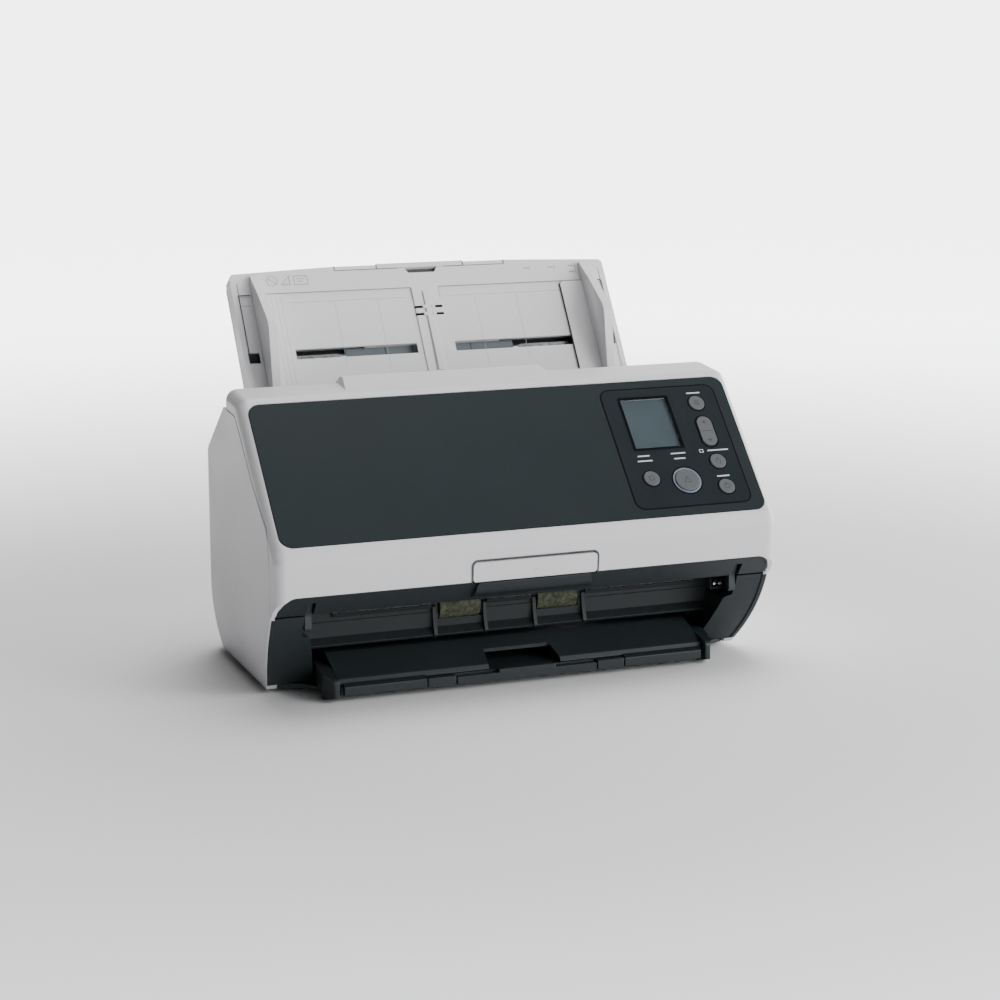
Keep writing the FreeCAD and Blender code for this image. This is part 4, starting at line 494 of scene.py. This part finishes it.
def soften(item, width):
    """Join the split corners, break the sharp edges and even out the shading."""
    attributes = item.data.attributes
    if "custom_normal" in attributes:
        attributes.remove(attributes["custom_normal"])
    weld = item.modifiers.new("weld", "WELD")
    weld.merge_threshold = WELD_REACH
    break_edges(item, width)
    even_shading(item).weight = NODE_FACE_WEIGHT


# ---------------------------------------------------------------- frames of the sloping surfaces

def joint_named(name):
    """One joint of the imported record."""
    return next(joint for joint in frame["joints"] if joint["name"] == name)


def sloping_frame(origin, up):
    """Turns (x, along the slope, out of the surface) in millimetres into a place in metres."""
    along = Vector(up).normalized()
    out = Vector((1.0, 0.0, 0.0)).cross(along)

    def place(x, s, d):
        return Vector((x * MM, 0.0, 0.0)) + origin + along * (s * MM) + out * (d * MM)
    return place


FASCIA_FOOT = Vector((0.0, -0.0960, 0.0923))
FASCIA_UP = Vector((1.0, 0.0, 0.0)).cross(Vector(joint_named("menu_press")["axis"]))
CHUTE_MIDDLE = Vector((0.0, 0.0635, 0.1723))
CHUTE_UP = joint_named("extension_slide")["axis"]
fascia = sloping_frame(FASCIA_FOOT, FASCIA_UP)
chute = sloping_frame(CHUTE_MIDDLE, CHUTE_UP)


def upright(x, y, z):
    """A place in the frame itself, from millimetres."""
    return Vector((x, y, z)) * MM


def side_section(y, z, x):
    """A place in the frame, for outlines drawn in the side view and run along the width."""
    return Vector((x, y, z)) * MM


def front_section(x, z, y):
    """A place in the frame, for outlines drawn in the front view and run along the depth."""
    return Vector((x, y, z)) * MM


# ---------------------------------------------------------------- outlines, in millimetres

def quarter(x, s, radius, start, steps, turn=90.0):
    """Points of a quarter circle, from one angle in degrees through a turn."""
    angles = [math.radians(start + turn * step / steps) for step in range(steps + 1)]
    return [(x + radius * math.cos(angle), s + radius * math.sin(angle)) for angle in angles]


def rounded(x0, s0, x1, s1, radius, steps=6):
    """A rectangle with rounded corners."""
    corners = ((x1 - radius, s0 + radius, -90), (x1 - radius, s1 - radius, 0),
               (x0 + radius, s1 - radius, 90), (x0 + radius, s0 + radius, 180))
    return [point for x, s, start in corners for point in quarter(x, s, radius, start, steps)]


def around(x, s, across, up, radius, steps=6):
    """A rectangle with rounded corners, from its middle and its half sizes."""
    return rounded(x - across, s - up, x + across, s + up, radius, steps)


def arch(half, low, high, radius, steps=6):
    """The path up one side, over the top and down the other."""
    left = quarter(-half + radius, high - radius, radius, 180.0, steps, -90.0)
    right = quarter(half - radius, high - radius, radius, 90.0, steps, -90.0)
    return [(-half, low)] + left + right + [(half, low)]


def circle(x, s, radius, steps=48):
    """A round outline."""
    angles = [2 * math.pi * k / steps for k in range(steps)]
    return [(x + radius * math.cos(angle), s + radius * math.sin(angle)) for angle in angles]


def strip(start, end, width):
    """A straight band between two points."""
    run = Vector((end[0] - start[0], end[1] - start[1])).normalized() * (width / 2)
    side = (-run.y, run.x)
    return [(start[0] + side[0], start[1] + side[1]), (start[0] - side[0], start[1] - side[1]),
            (end[0] - side[0], end[1] - side[1]), (end[0] + side[0], end[1] + side[1])]


def scaled(outline, factor):
    """An outline made smaller or larger about its middle."""
    x = sum(point[0] for point in outline) / len(outline)
    s = sum(point[1] for point in outline) / len(outline)
    return [(x + (u - x) * factor, s + (v - s) * factor) for u, v in outline]


# ---------------------------------------------------------------- detail pieces

class Piece:
    """One detail piece, made of plates and frames laid on a surface of the object."""

    def __init__(self, place):
        self.place = place
        self.mesh = bmesh.new()

    def loop(self, outline, level):
        """The vertices of an outline at one level."""
        return [self.mesh.verts.new(self.place(x, s, level)) for x, s in outline]

    def band(self, first, second):
        """Faces between two loops of the same length."""
        for k in range(len(first)):
            following = (k + 1) % len(first)
            self.mesh.faces.new((first[k], first[following], second[following], second[k]))

    def plate(self, outline, low, high):
        """A closed plate between two levels."""
        bottom, top = self.loop(outline, low), self.loop(outline, high)
        self.mesh.faces.new(bottom[::-1])
        self.mesh.faces.new(top)
        self.band(bottom, top)
        return self

    def frame(self, outer, inner, low, high):
        """A closed ring between two outlines and two levels."""
        loops = [self.loop(outer, low), self.loop(outer, high), self.loop(inner, high),
                 self.loop(inner, low)]
        for k in range(4):
            self.band(loops[k], loops[(k + 1) % 4])
        return self

    def done(self, name, body, look, slot, edge=0.0):
        """Make the object, round its edges and set it to ride with its body."""
        bmesh.ops.recalc_face_normals(self.mesh, faces=self.mesh.faces)
        data = bpy.data.meshes.new(name)
        self.mesh.to_mesh(data)
        self.mesh.free()
        item = bpy.data.objects.new(name, data)
        bpy.context.scene.collection.objects.link(item)
        data.materials.append(MATERIALS[look])
        if edge:
            break_edges(item, edge)
        even_shading(item)
        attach(item, body)
        return item


# places on the fascia, in millimetres: x0, s0, x1, s1 of a panel, and x, s of a key
CONTROL = (65.0, 5.6, 138.1, 89.0)
DISPLAY = (76.6, 46.9, 105.8, 81.5)
ROUND_KEYS = {
    "menu": (124.3, 76.0),
    "feed": (124.8, 34.5),
    "power": (124.8, 17.0),
    "stop": (80.0, 26.0),
}
SCAN = (101.6, 23.2)
ROCKER = (124.5, 55.7)

# sizes of the keys' openings, and heights above the fascia
KEY_RADIUS = 4.9
ROCKER_HALF, ROCKER_TALL = 5.1, 10.8
SCAN_GAP = (8.75, 9.5)
SCAN_RIM = (7.9, 8.3)
SCAN_STEPS = 64
GAP_FLOOR = -0.5
CAP = 0.70
PRINT = 0.05

# x, s and length of each bar
LABEL_BARS = (
    (124.3, 83.4, 8.6), (127.2, 42.3, 13.4), (124.9, 24.3, 8.0), (79.7, 41.7, 7.6),
    (79.7, 38.3, 9.4), (101.7, 42.0, 9.4), (101.7, 38.4, 7.2),
)
LABEL_HALF_HEIGHT = 0.42


def add_panel_details():
    """Gap line, screen frame and key rings, then the label bars and the marks on the keys."""
    x0, s0, x1, s1 = CONTROL
    Piece(fascia).frame(rounded(x0 - 0.35, s0 - 0.35, x1 + 0.25, s1 + 0.25, 6.3),
                        rounded(x0 + 0.65, s0 + 0.55, x1 - 0.45, s1 - 0.45, 5.4), -0.4, PRINT).done(
        "bezel_gap_seal", "lid", "gap", "dark_panel")
    x0, s0, x1, s1 = DISPLAY
    Piece(fascia).frame(rounded(x0 - 1.5, s0 - 1.5, x1 + 1.5, s1 + 1.5, 1.4),
                        rounded(x0 + 0.1, s0 + 0.1, x1 - 0.1, s1 - 0.1, 0.6), -0.3, 0.25).done(
        "display_frame", "lid", "gap", "dark_panel", 0.2)
    Piece(fascia).plate(rounded(x0 - 1.2, s0 - 2.0, x1 + 1.7, s0 - 1.5, 0.2), -0.2, 0.2).plate(
        rounded(x1 + 1.5, s0 - 1.8, x1 + 2.0, s1 + 1.0, 0.2), -0.2, 0.2).done(
        "display_frame_rim", "lid", "bezel", "dark_panel", 0.1)
    rings = Piece(fascia)
    for x, s in ROUND_KEYS.values():
        rings.frame(circle(x, s, KEY_RADIUS + 0.75), circle(x, s, KEY_RADIUS + 0.12), GAP_FLOOR,
                    PRINT)
    half, tall = ROCKER_HALF, ROCKER_TALL
    rings.frame(around(*ROCKER, half + 0.6, tall + 0.6, half + 0.5, 12),
                around(*ROCKER, half, tall, half - 0.1, 12), GAP_FLOOR, PRINT)
    inner, outer = SCAN_GAP
    rings.frame(circle(*SCAN, outer, SCAN_STEPS), circle(*SCAN, inner, SCAN_STEPS), GAP_FLOOR,
                PRINT)
    rings.done("key_gap_rings", "lid", "gap", "dark_panel")
    inner, outer = SCAN_RIM
    Piece(fascia).frame(circle(*SCAN, outer, SCAN_STEPS), circle(*SCAN, inner, SCAN_STEPS), -0.1,
                        0.12).done("scan_ring_rim", "lid", "rim", "light_ring", 0.05)
    add_label_bars()
    add_key_marks()


def add_label_bars():
    """Plain bars and one small frame where the labels are printed."""
    bars = Piece(fascia)
    for x, s, length in LABEL_BARS:
        bars.plate(around(x, s, length / 2, LABEL_HALF_HEIGHT, 0.4), -0.05, PRINT)
    bars.frame(rounded(115.4, 41.2, 118.0, 43.5, 0.3), rounded(115.8, 41.6, 117.6, 43.1, 0.1),
               -0.05, PRINT)
    bars.done("label_bars", "lid", "white", "dark_panel")


def add_key_marks():
    """A simple dark figure on each key cap."""
    low, high = CAP - 0.1, CAP + 0.03
    x, s = ROUND_KEYS["menu"]
    menu = Piece(fascia)
    for shift in (-1.3, 0.0, 1.3):
        menu.plate(around(x, s + shift, 1.7, 0.3, 0.25), low, high)
    menu.done("menu_mark", "menu_key", "mark", "key_grey")
    x, s = ROUND_KEYS["feed"]
    Piece(fascia).frame(rounded(x - 1.4, s - 1.9, x + 1.4, s + 1.1, 0.3),
                        rounded(x - 0.95, s - 1.45, x + 0.95, s + 0.65, 0.1), low, high).plate(
        [(x - 1.1, s + 1.5), (x + 1.1, s + 1.5), (x, s + 2.5)], low, high).done(
        "feed_mark", "feed_key", "mark", "key_grey")
    x, s = ROUND_KEYS["power"]
    Piece(fascia).frame(circle(x, s, 1.9), circle(x, s, 1.4), low, high).plate(
        rounded(x - 0.3, s + 0.3, x + 0.3, s + 2.4, 0.2), low, high + 0.01).done(
        "power_mark", "power_key", "mark", "key_grey")
    x, s = ROUND_KEYS["stop"]
    Piece(fascia).frame(around(x, s, 1.6, 1.6, 0.3), around(x, s, 1.1, 1.1, 0.2), low, high).done(
        "stop_mark", "stop_key", "mark", "key_grey")
    x, s = SCAN
    outline = [(x - 2.4, s - 1.9), (x + 2.4, s - 1.9), (x, s + 2.4)]
    Piece(fascia).frame(outline, scaled(outline, 0.68), low, high).done(
        "scan_mark", "scan_key", "mark", "key_grey")
    x, s = ROCKER
    rocker = Piece(fascia)
    for side in (-1, 1):
        tip = s + side * 7.6
        rocker.plate([(x - 1.6, tip - side * 1.9), (x + 1.6, tip - side * 1.9), (x, tip)][::side],
                     low, high)
    rocker.plate(around(x, s, 4.2, 0.2, 0.15), low, high)
    rocker.done("rocker_marks", "rocker", "mark", "key_grey")


# heights above the chute's face, in millimetres, and places up the chute
FIELD = -0.8
SOLE = 0.9
LINE = 0.04
CATCHES = (22.2, 27.2)

# half of the lines of painted shade in the gaps round the handle and rails and under the ledge at
# the field's top: start, end, width, floor, top
SHADE_LINES = (
    ((8.9, 40.75), (104.0, 40.75), 0.42, -0.3, LINE),
    ((117.6, -2.0), (117.6, 48.5), 0.42, -0.3, LINE),
    ((111.0, 40.5), (117.4, 40.5), 0.5, -0.3, LINE),
    ((55.2, 54.6), (55.2, 57.6), 0.55, -0.6, 0.05),
    ((28.15, 54.6), (28.15, 57.9), 0.45, -0.6, 0.05),
    ((14.6, 54.5), (55.0, 54.5), 0.35, -0.6, LINE),
)

# half of the faint lines left by the mould, drawn darker: painted shade in their fine grooves
MOULD_LINES = (
    ((8.8, 40.4), (8.8, 33.0), 0.25, -0.3, 0.03),
    ((13.0, 34.6), (89.0, 34.6), 0.25, FIELD - 0.1, FIELD + 0.03),
    ((58.7, -9.0), (58.7, 34.0), 0.22, FIELD - 0.1, FIELD + 0.02),
    ((31.5, -14.0), (31.5, 34.0), 0.22, FIELD - 0.1, FIELD + 0.02),
    ((111.0, 33.8), (117.4, 33.8), 0.35, FIELD - 0.1, FIELD + LINE),
)


def mirrored_lines(rows):
    """Lines on both halves of the chute, from start, end, width, floor and top."""
    lines = Piece(chute)
    for side in (-1, 1):
        for start, end, width, low, high in rows:
            lines.plate(strip((side * start[0], start[1]), (side * end[0], end[1]), width), low,
                        high)
    return lines


def add_chute_details():
    """Spine with its catches, mould lines, and the shaded gaps of the handle."""
    spine = Piece(chute)
    spine.plate(rounded(-2.0, -16.0, 2.5, 37.6, 1.2), -0.4, 0.6)
    for s in CATCHES:
        for side in (-1, 1):
            spine.plate(around(side * 2.75, s, 1.25, 1.0, 0.6), -0.4, 0.9)
    spine.done("chute_spine", "base", "chute", "chute_plastic", 0.3)
    Piece(chute).plate([(-3.4, -16.0), (-2.0, -16.0), (-2.0, 38.5), (-2.5, 38.5)], -0.2, 0.1).done(
        "chute_spine_shade", "base", "shade", "chute_plastic")
    # dark plates in the catch slots: painted shade in the openings
    catch_slot_shade = Piece(chute)
    for side in (-1, 1):
        for s in CATCHES:
            catch_slot_shade.plate(around(side * 6.3, s, 2.7, 0.75, 0.6), -0.5, 0.05)
    mirrored_lines(SHADE_LINES).done("chute_gap_lines", "base", "groove", "chute_plastic")
    catch_slot_shade.done("catch_slots", "base", "gap", "chute_plastic")
    mirrored_lines(MOULD_LINES).done("chute_mould_lines", "base", "emboss_shade", "chute_plastic")
    Piece(chute).plate([(-14.6, 54.4), (-9.4, 51.0), (9.4, 51.0), (14.6, 54.4)], -2.5, -2.2).done(
        "finger_notch_shade", "base", "groove", "chute_plastic")
    add_guide_steps()
    add_embossed_figures()
    add_slot_plates()


def add_guide_steps():
    """Low steps on the left sole, and the shaded inner edge of the right one."""
    steps = Piece(chute)
    for inner, height in ((-98.6, 0.75), (-95.6, 0.5), (-92.6, 0.25)):
        steps.plate(rounded(-104.3, -36.0, inner, 38.4, 0.8), SOLE - 0.2, SOLE + height)
    steps.done("guide_steps", "guide_left", "chute", "chute_plastic", 0.12)
    lines = Piece(chute)
    for x, level in ((-98.5, 0.5), (-95.5, 0.25), (-92.5, 0.0)):
        lines.plate(strip((x, -36.0), (x, 38.2), 0.24), SOLE + level - 0.1, SOLE + level + 0.03)
    lines.done("guide_step_lines", "guide_left", "shade", "chute_plastic")
    Piece(chute).plate(strip((89.3, -36.0), (89.3, 38.6), 0.4), -0.6, 0.5).done(
        "guide_edge_line", "guide_right", "groove", "chute_plastic")


def add_embossed_figures():
    """Raised figures at the chute's top: guide marks on the left, size marks on the right, darker
    than the chute as painted shade.
    """
    low, high = -0.1, 0.12
    figures = Piece(chute)
    figures.frame(circle(-95.6, 49.2, 3.5), circle(-95.6, 49.2, 3.1), low, high)
    figures.plate(strip((-97.9, 51.4), (-93.3, 47.0), 0.45), low, high)
    outline = [(-90.4, 46.2), (-84.4, 46.2), (-84.4, 53.0)]
    figures.frame(outline, scaled(outline, 0.72), low, high)
    figures.frame(rounded(-82.0, 46.0, -73.2, 52.4, 0.6), rounded(-81.5, 46.5, -73.7, 51.9, 0.4),
                  low, high)
    figures.plate(rounded(-80.2, 50.0, -75.2, 50.45, 0.2), low, high)
    figures.plate(rounded(-80.2, 48.2, -76.6, 48.65, 0.2), low, high)
    for x, s in ((69.6, 50.8), (86.2, 50.8), (100.2, 51.2), (100.2, 47.0)):
        figures.plate(rounded(x - 2.4, s - 0.45, x + 1.2, s + 0.45, 0.4), low, high)
        figures.plate(rounded(x + 1.9, s - 1.7, x + 2.35, s + 1.7, 0.2), low, high)
    figures.done("chute_figures", "base", "emboss_shade", "chute_plastic", 0.04)


# name, side, inner and outer end of the plate, and the line across it
SLOT_PLATES = (
    ("left", -1, 13.0, 56.2, 31.1),
    ("right", 1, 12.6, 51.7, 24.0),
)
BAR_START = 89.0


def add_slot_plates():
    """Plates and black sheets behind the two slots, both painted shade, with a bright bar beside
    each plate.
    """
    for name, sign, inner, outer, line in SLOT_PLATES:
        x0, x1 = sorted((sign * inner, sign * outer))
        # darker skin over the extension where the slot shows it: painted shade
        Piece(chute).plate(rounded(x0, -4.2, x1, 4.2, 0.6), -6.36, -6.08).done(
            f"slot_plate_{name}", "base", "extension_shade", "chute_grey", 0.05)
        Piece(chute).plate(strip((sign * line, -4.0), (sign * line, 4.0), 0.6), -6.1, -6.02).done(
            f"slot_plate_line_{name}", "base", "groove", "chute_grey")
        end = outer + 4.2
        bar = [(sign * BAR_START, -2.3), (sign * end, -2.3), (sign * (end - 1.6), 0.4),
               (sign * (end + 1.2), 1.5), (sign * BAR_START, 1.5)]
        Piece(chute).plate(bar[::sign], -6.5, -6.05).done(
            f"slot_bar_{name}", "base", "plated", "steel", 0.12)
        # black sheet deep behind the slot: painted shade
        x0, x1 = sorted((sign * 46.0, sign * 99.4))
        Piece(chute).plate(rounded(x0, -6.0, x1, 6.0, 0.6), -10.25, -10.1).done(
            f"slot_shade_sheet_{name}", "base", "black", "chute_grey")


TAB_TOP = 76.3
TAB_LEAN = 0.0862


def tab_face(x, z, d):
    """A place on the leaning front of the tab, kept behind the front of the whole."""
    front = max(-100.36, -100.5 + (TAB_TOP - z) * TAB_LEAN)
    return Vector((x, front - d, z)) * MM


# the brush between the rollers, in millimetres
BRUSH_SPANS = ((-106.0, -47.3), (-13.8, 13.8), (47.3, 116.0))
BRISTLE_SPACING = 0.42
BRISTLE_FOOT = (-57.9, 43.0)
BRISTLE_LEAN = (0.3, 2.2)
BRISTLE_RISE = (1.6, 4.0)
BRISTLE_WIDTH = (0.10, 0.22)


def add_mouth_details():
    """Brush that discharges the sheets, pins of the latch, and the gap and mark of the tab."""
    chance = random.Random(7)
    holder, bristles = Piece(side_section), Piece(side_section)
    for low, high in BRUSH_SPANS:
        holder.plate([(-56.9, 41.0), (-58.2, 41.4), (-58.7, 43.4), (-56.9, 44.3)], low, high)
        count = int((high - low) / BRISTLE_SPACING)
        for k in range(count):
            x = low + 0.3 + (high - low - 0.6) * (k + chance.random() * 0.6) / count
            y, z = BRISTLE_FOOT[0] + chance.uniform(-0.2, 0.2), BRISTLE_FOOT[1]
            lean, rise = chance.uniform(*BRISTLE_LEAN), chance.uniform(*BRISTLE_RISE)
            width = chance.uniform(*BRISTLE_WIDTH)
            bristles.plate([(y, z), (y + 0.25, z), (y + 0.1 - lean, z + rise),
                            (y - lean, z + rise)], x, x + width)
    holder.done("brush_holder", "base", "trim", "dark_trim", 0.15)
    bristles.done("brush_bristles", "base", "bristle_glint", "steel")
    posts = Piece(front_section)
    for x in (124.0, 127.4):
        posts.plate(circle(x, 43.6, 1.0, 20), -72.0, -66.0)
    posts.done("latch_pins", "base", "plated", "screw_steel", 0.3)
    cradle = [(121.8, 40.2), (129.6, 40.2), (129.6, 47.0), (128.8, 47.0), (128.8, 41.6),
              (122.6, 41.6), (122.6, 47.0), (121.8, 47.0)]
    Piece(front_section).plate(cradle, -71.0, -66.5).done(
        "latch_pin_cradle", "base", "trim", "dark_trim", 0.2)
    outer, inner = arch(38.1, 64.9, 77.7, 3.4), arch(37.45, 64.9, 77.1, 2.9)
    Piece(tab_face).plate(outer + inner[::-1], -0.8, 0.03).done(
        "tab_gap_line", "lid", "groove", "light_shell")
    # the tab's chevron, drawn darker than the tab as painted shade
    chevron = [(-0.9, 69.0), (0.0, 69.9), (0.9, 69.0), (0.9, 69.5), (0.0, 70.4), (-0.9, 69.5)]
    Piece(tab_face).plate(chevron, -0.2, 0.04).done(
        "tab_mark", "latch", "emboss_shade", "light_shell")


# z, x and y along the front edge of a side panel
FRONT_EDGE = (
    (5.8, 144.8, -58.3), (7.6, 145.3, -59.9), (11.1, 146.1, -63.0), (14.6, 146.9, -66.0),
    (18.2, 147.6, -68.8), (21.8, 148.2, -71.5), (25.4, 148.7, -74.1), (29.1, 149.2, -76.5),
    (32.8, 149.5, -78.9), (36.5, 149.8, -81.1), (40.3, 149.9, -83.2), (45.0, 150.0, -85.7),
    (48.7, 150.0, -87.5), (51.0, 150.0, -88.5),
)


def add_bezel_edges():
    """Dark returns of the bezel over the front edges of the side panels."""
    for name, sign in (("left", -1), ("right", 1)):
        edge = Piece(upright)
        loops = []
        for z, x, y in FRONT_EDGE:
            outline = ((x - 0.5, y - 0.3), (x - 3.1, y - 0.3), (x - 3.1, y + 0.3),
                       (x - 0.5, y + 0.3))
            loops.append(edge.loop([(sign * u, v) for u, v in outline], z))
        for first, second in zip(loops, loops[1:]):
            edge.band(first, second)
        edge.mesh.faces.new(loops[0])
        edge.mesh.faces.new(loops[-1][::-1])
        edge.done(f"bezel_edge_{name}", "base", "trim", "dark_trim", 0.12)


def add_details():
    """Every piece that the photograph shows and the CAD frame does not carry."""
    add_panel_details()
    add_chute_details()
    add_mouth_details()
    add_bezel_edges()


make_camera()
make_stage()
dress_nodes()
add_details()
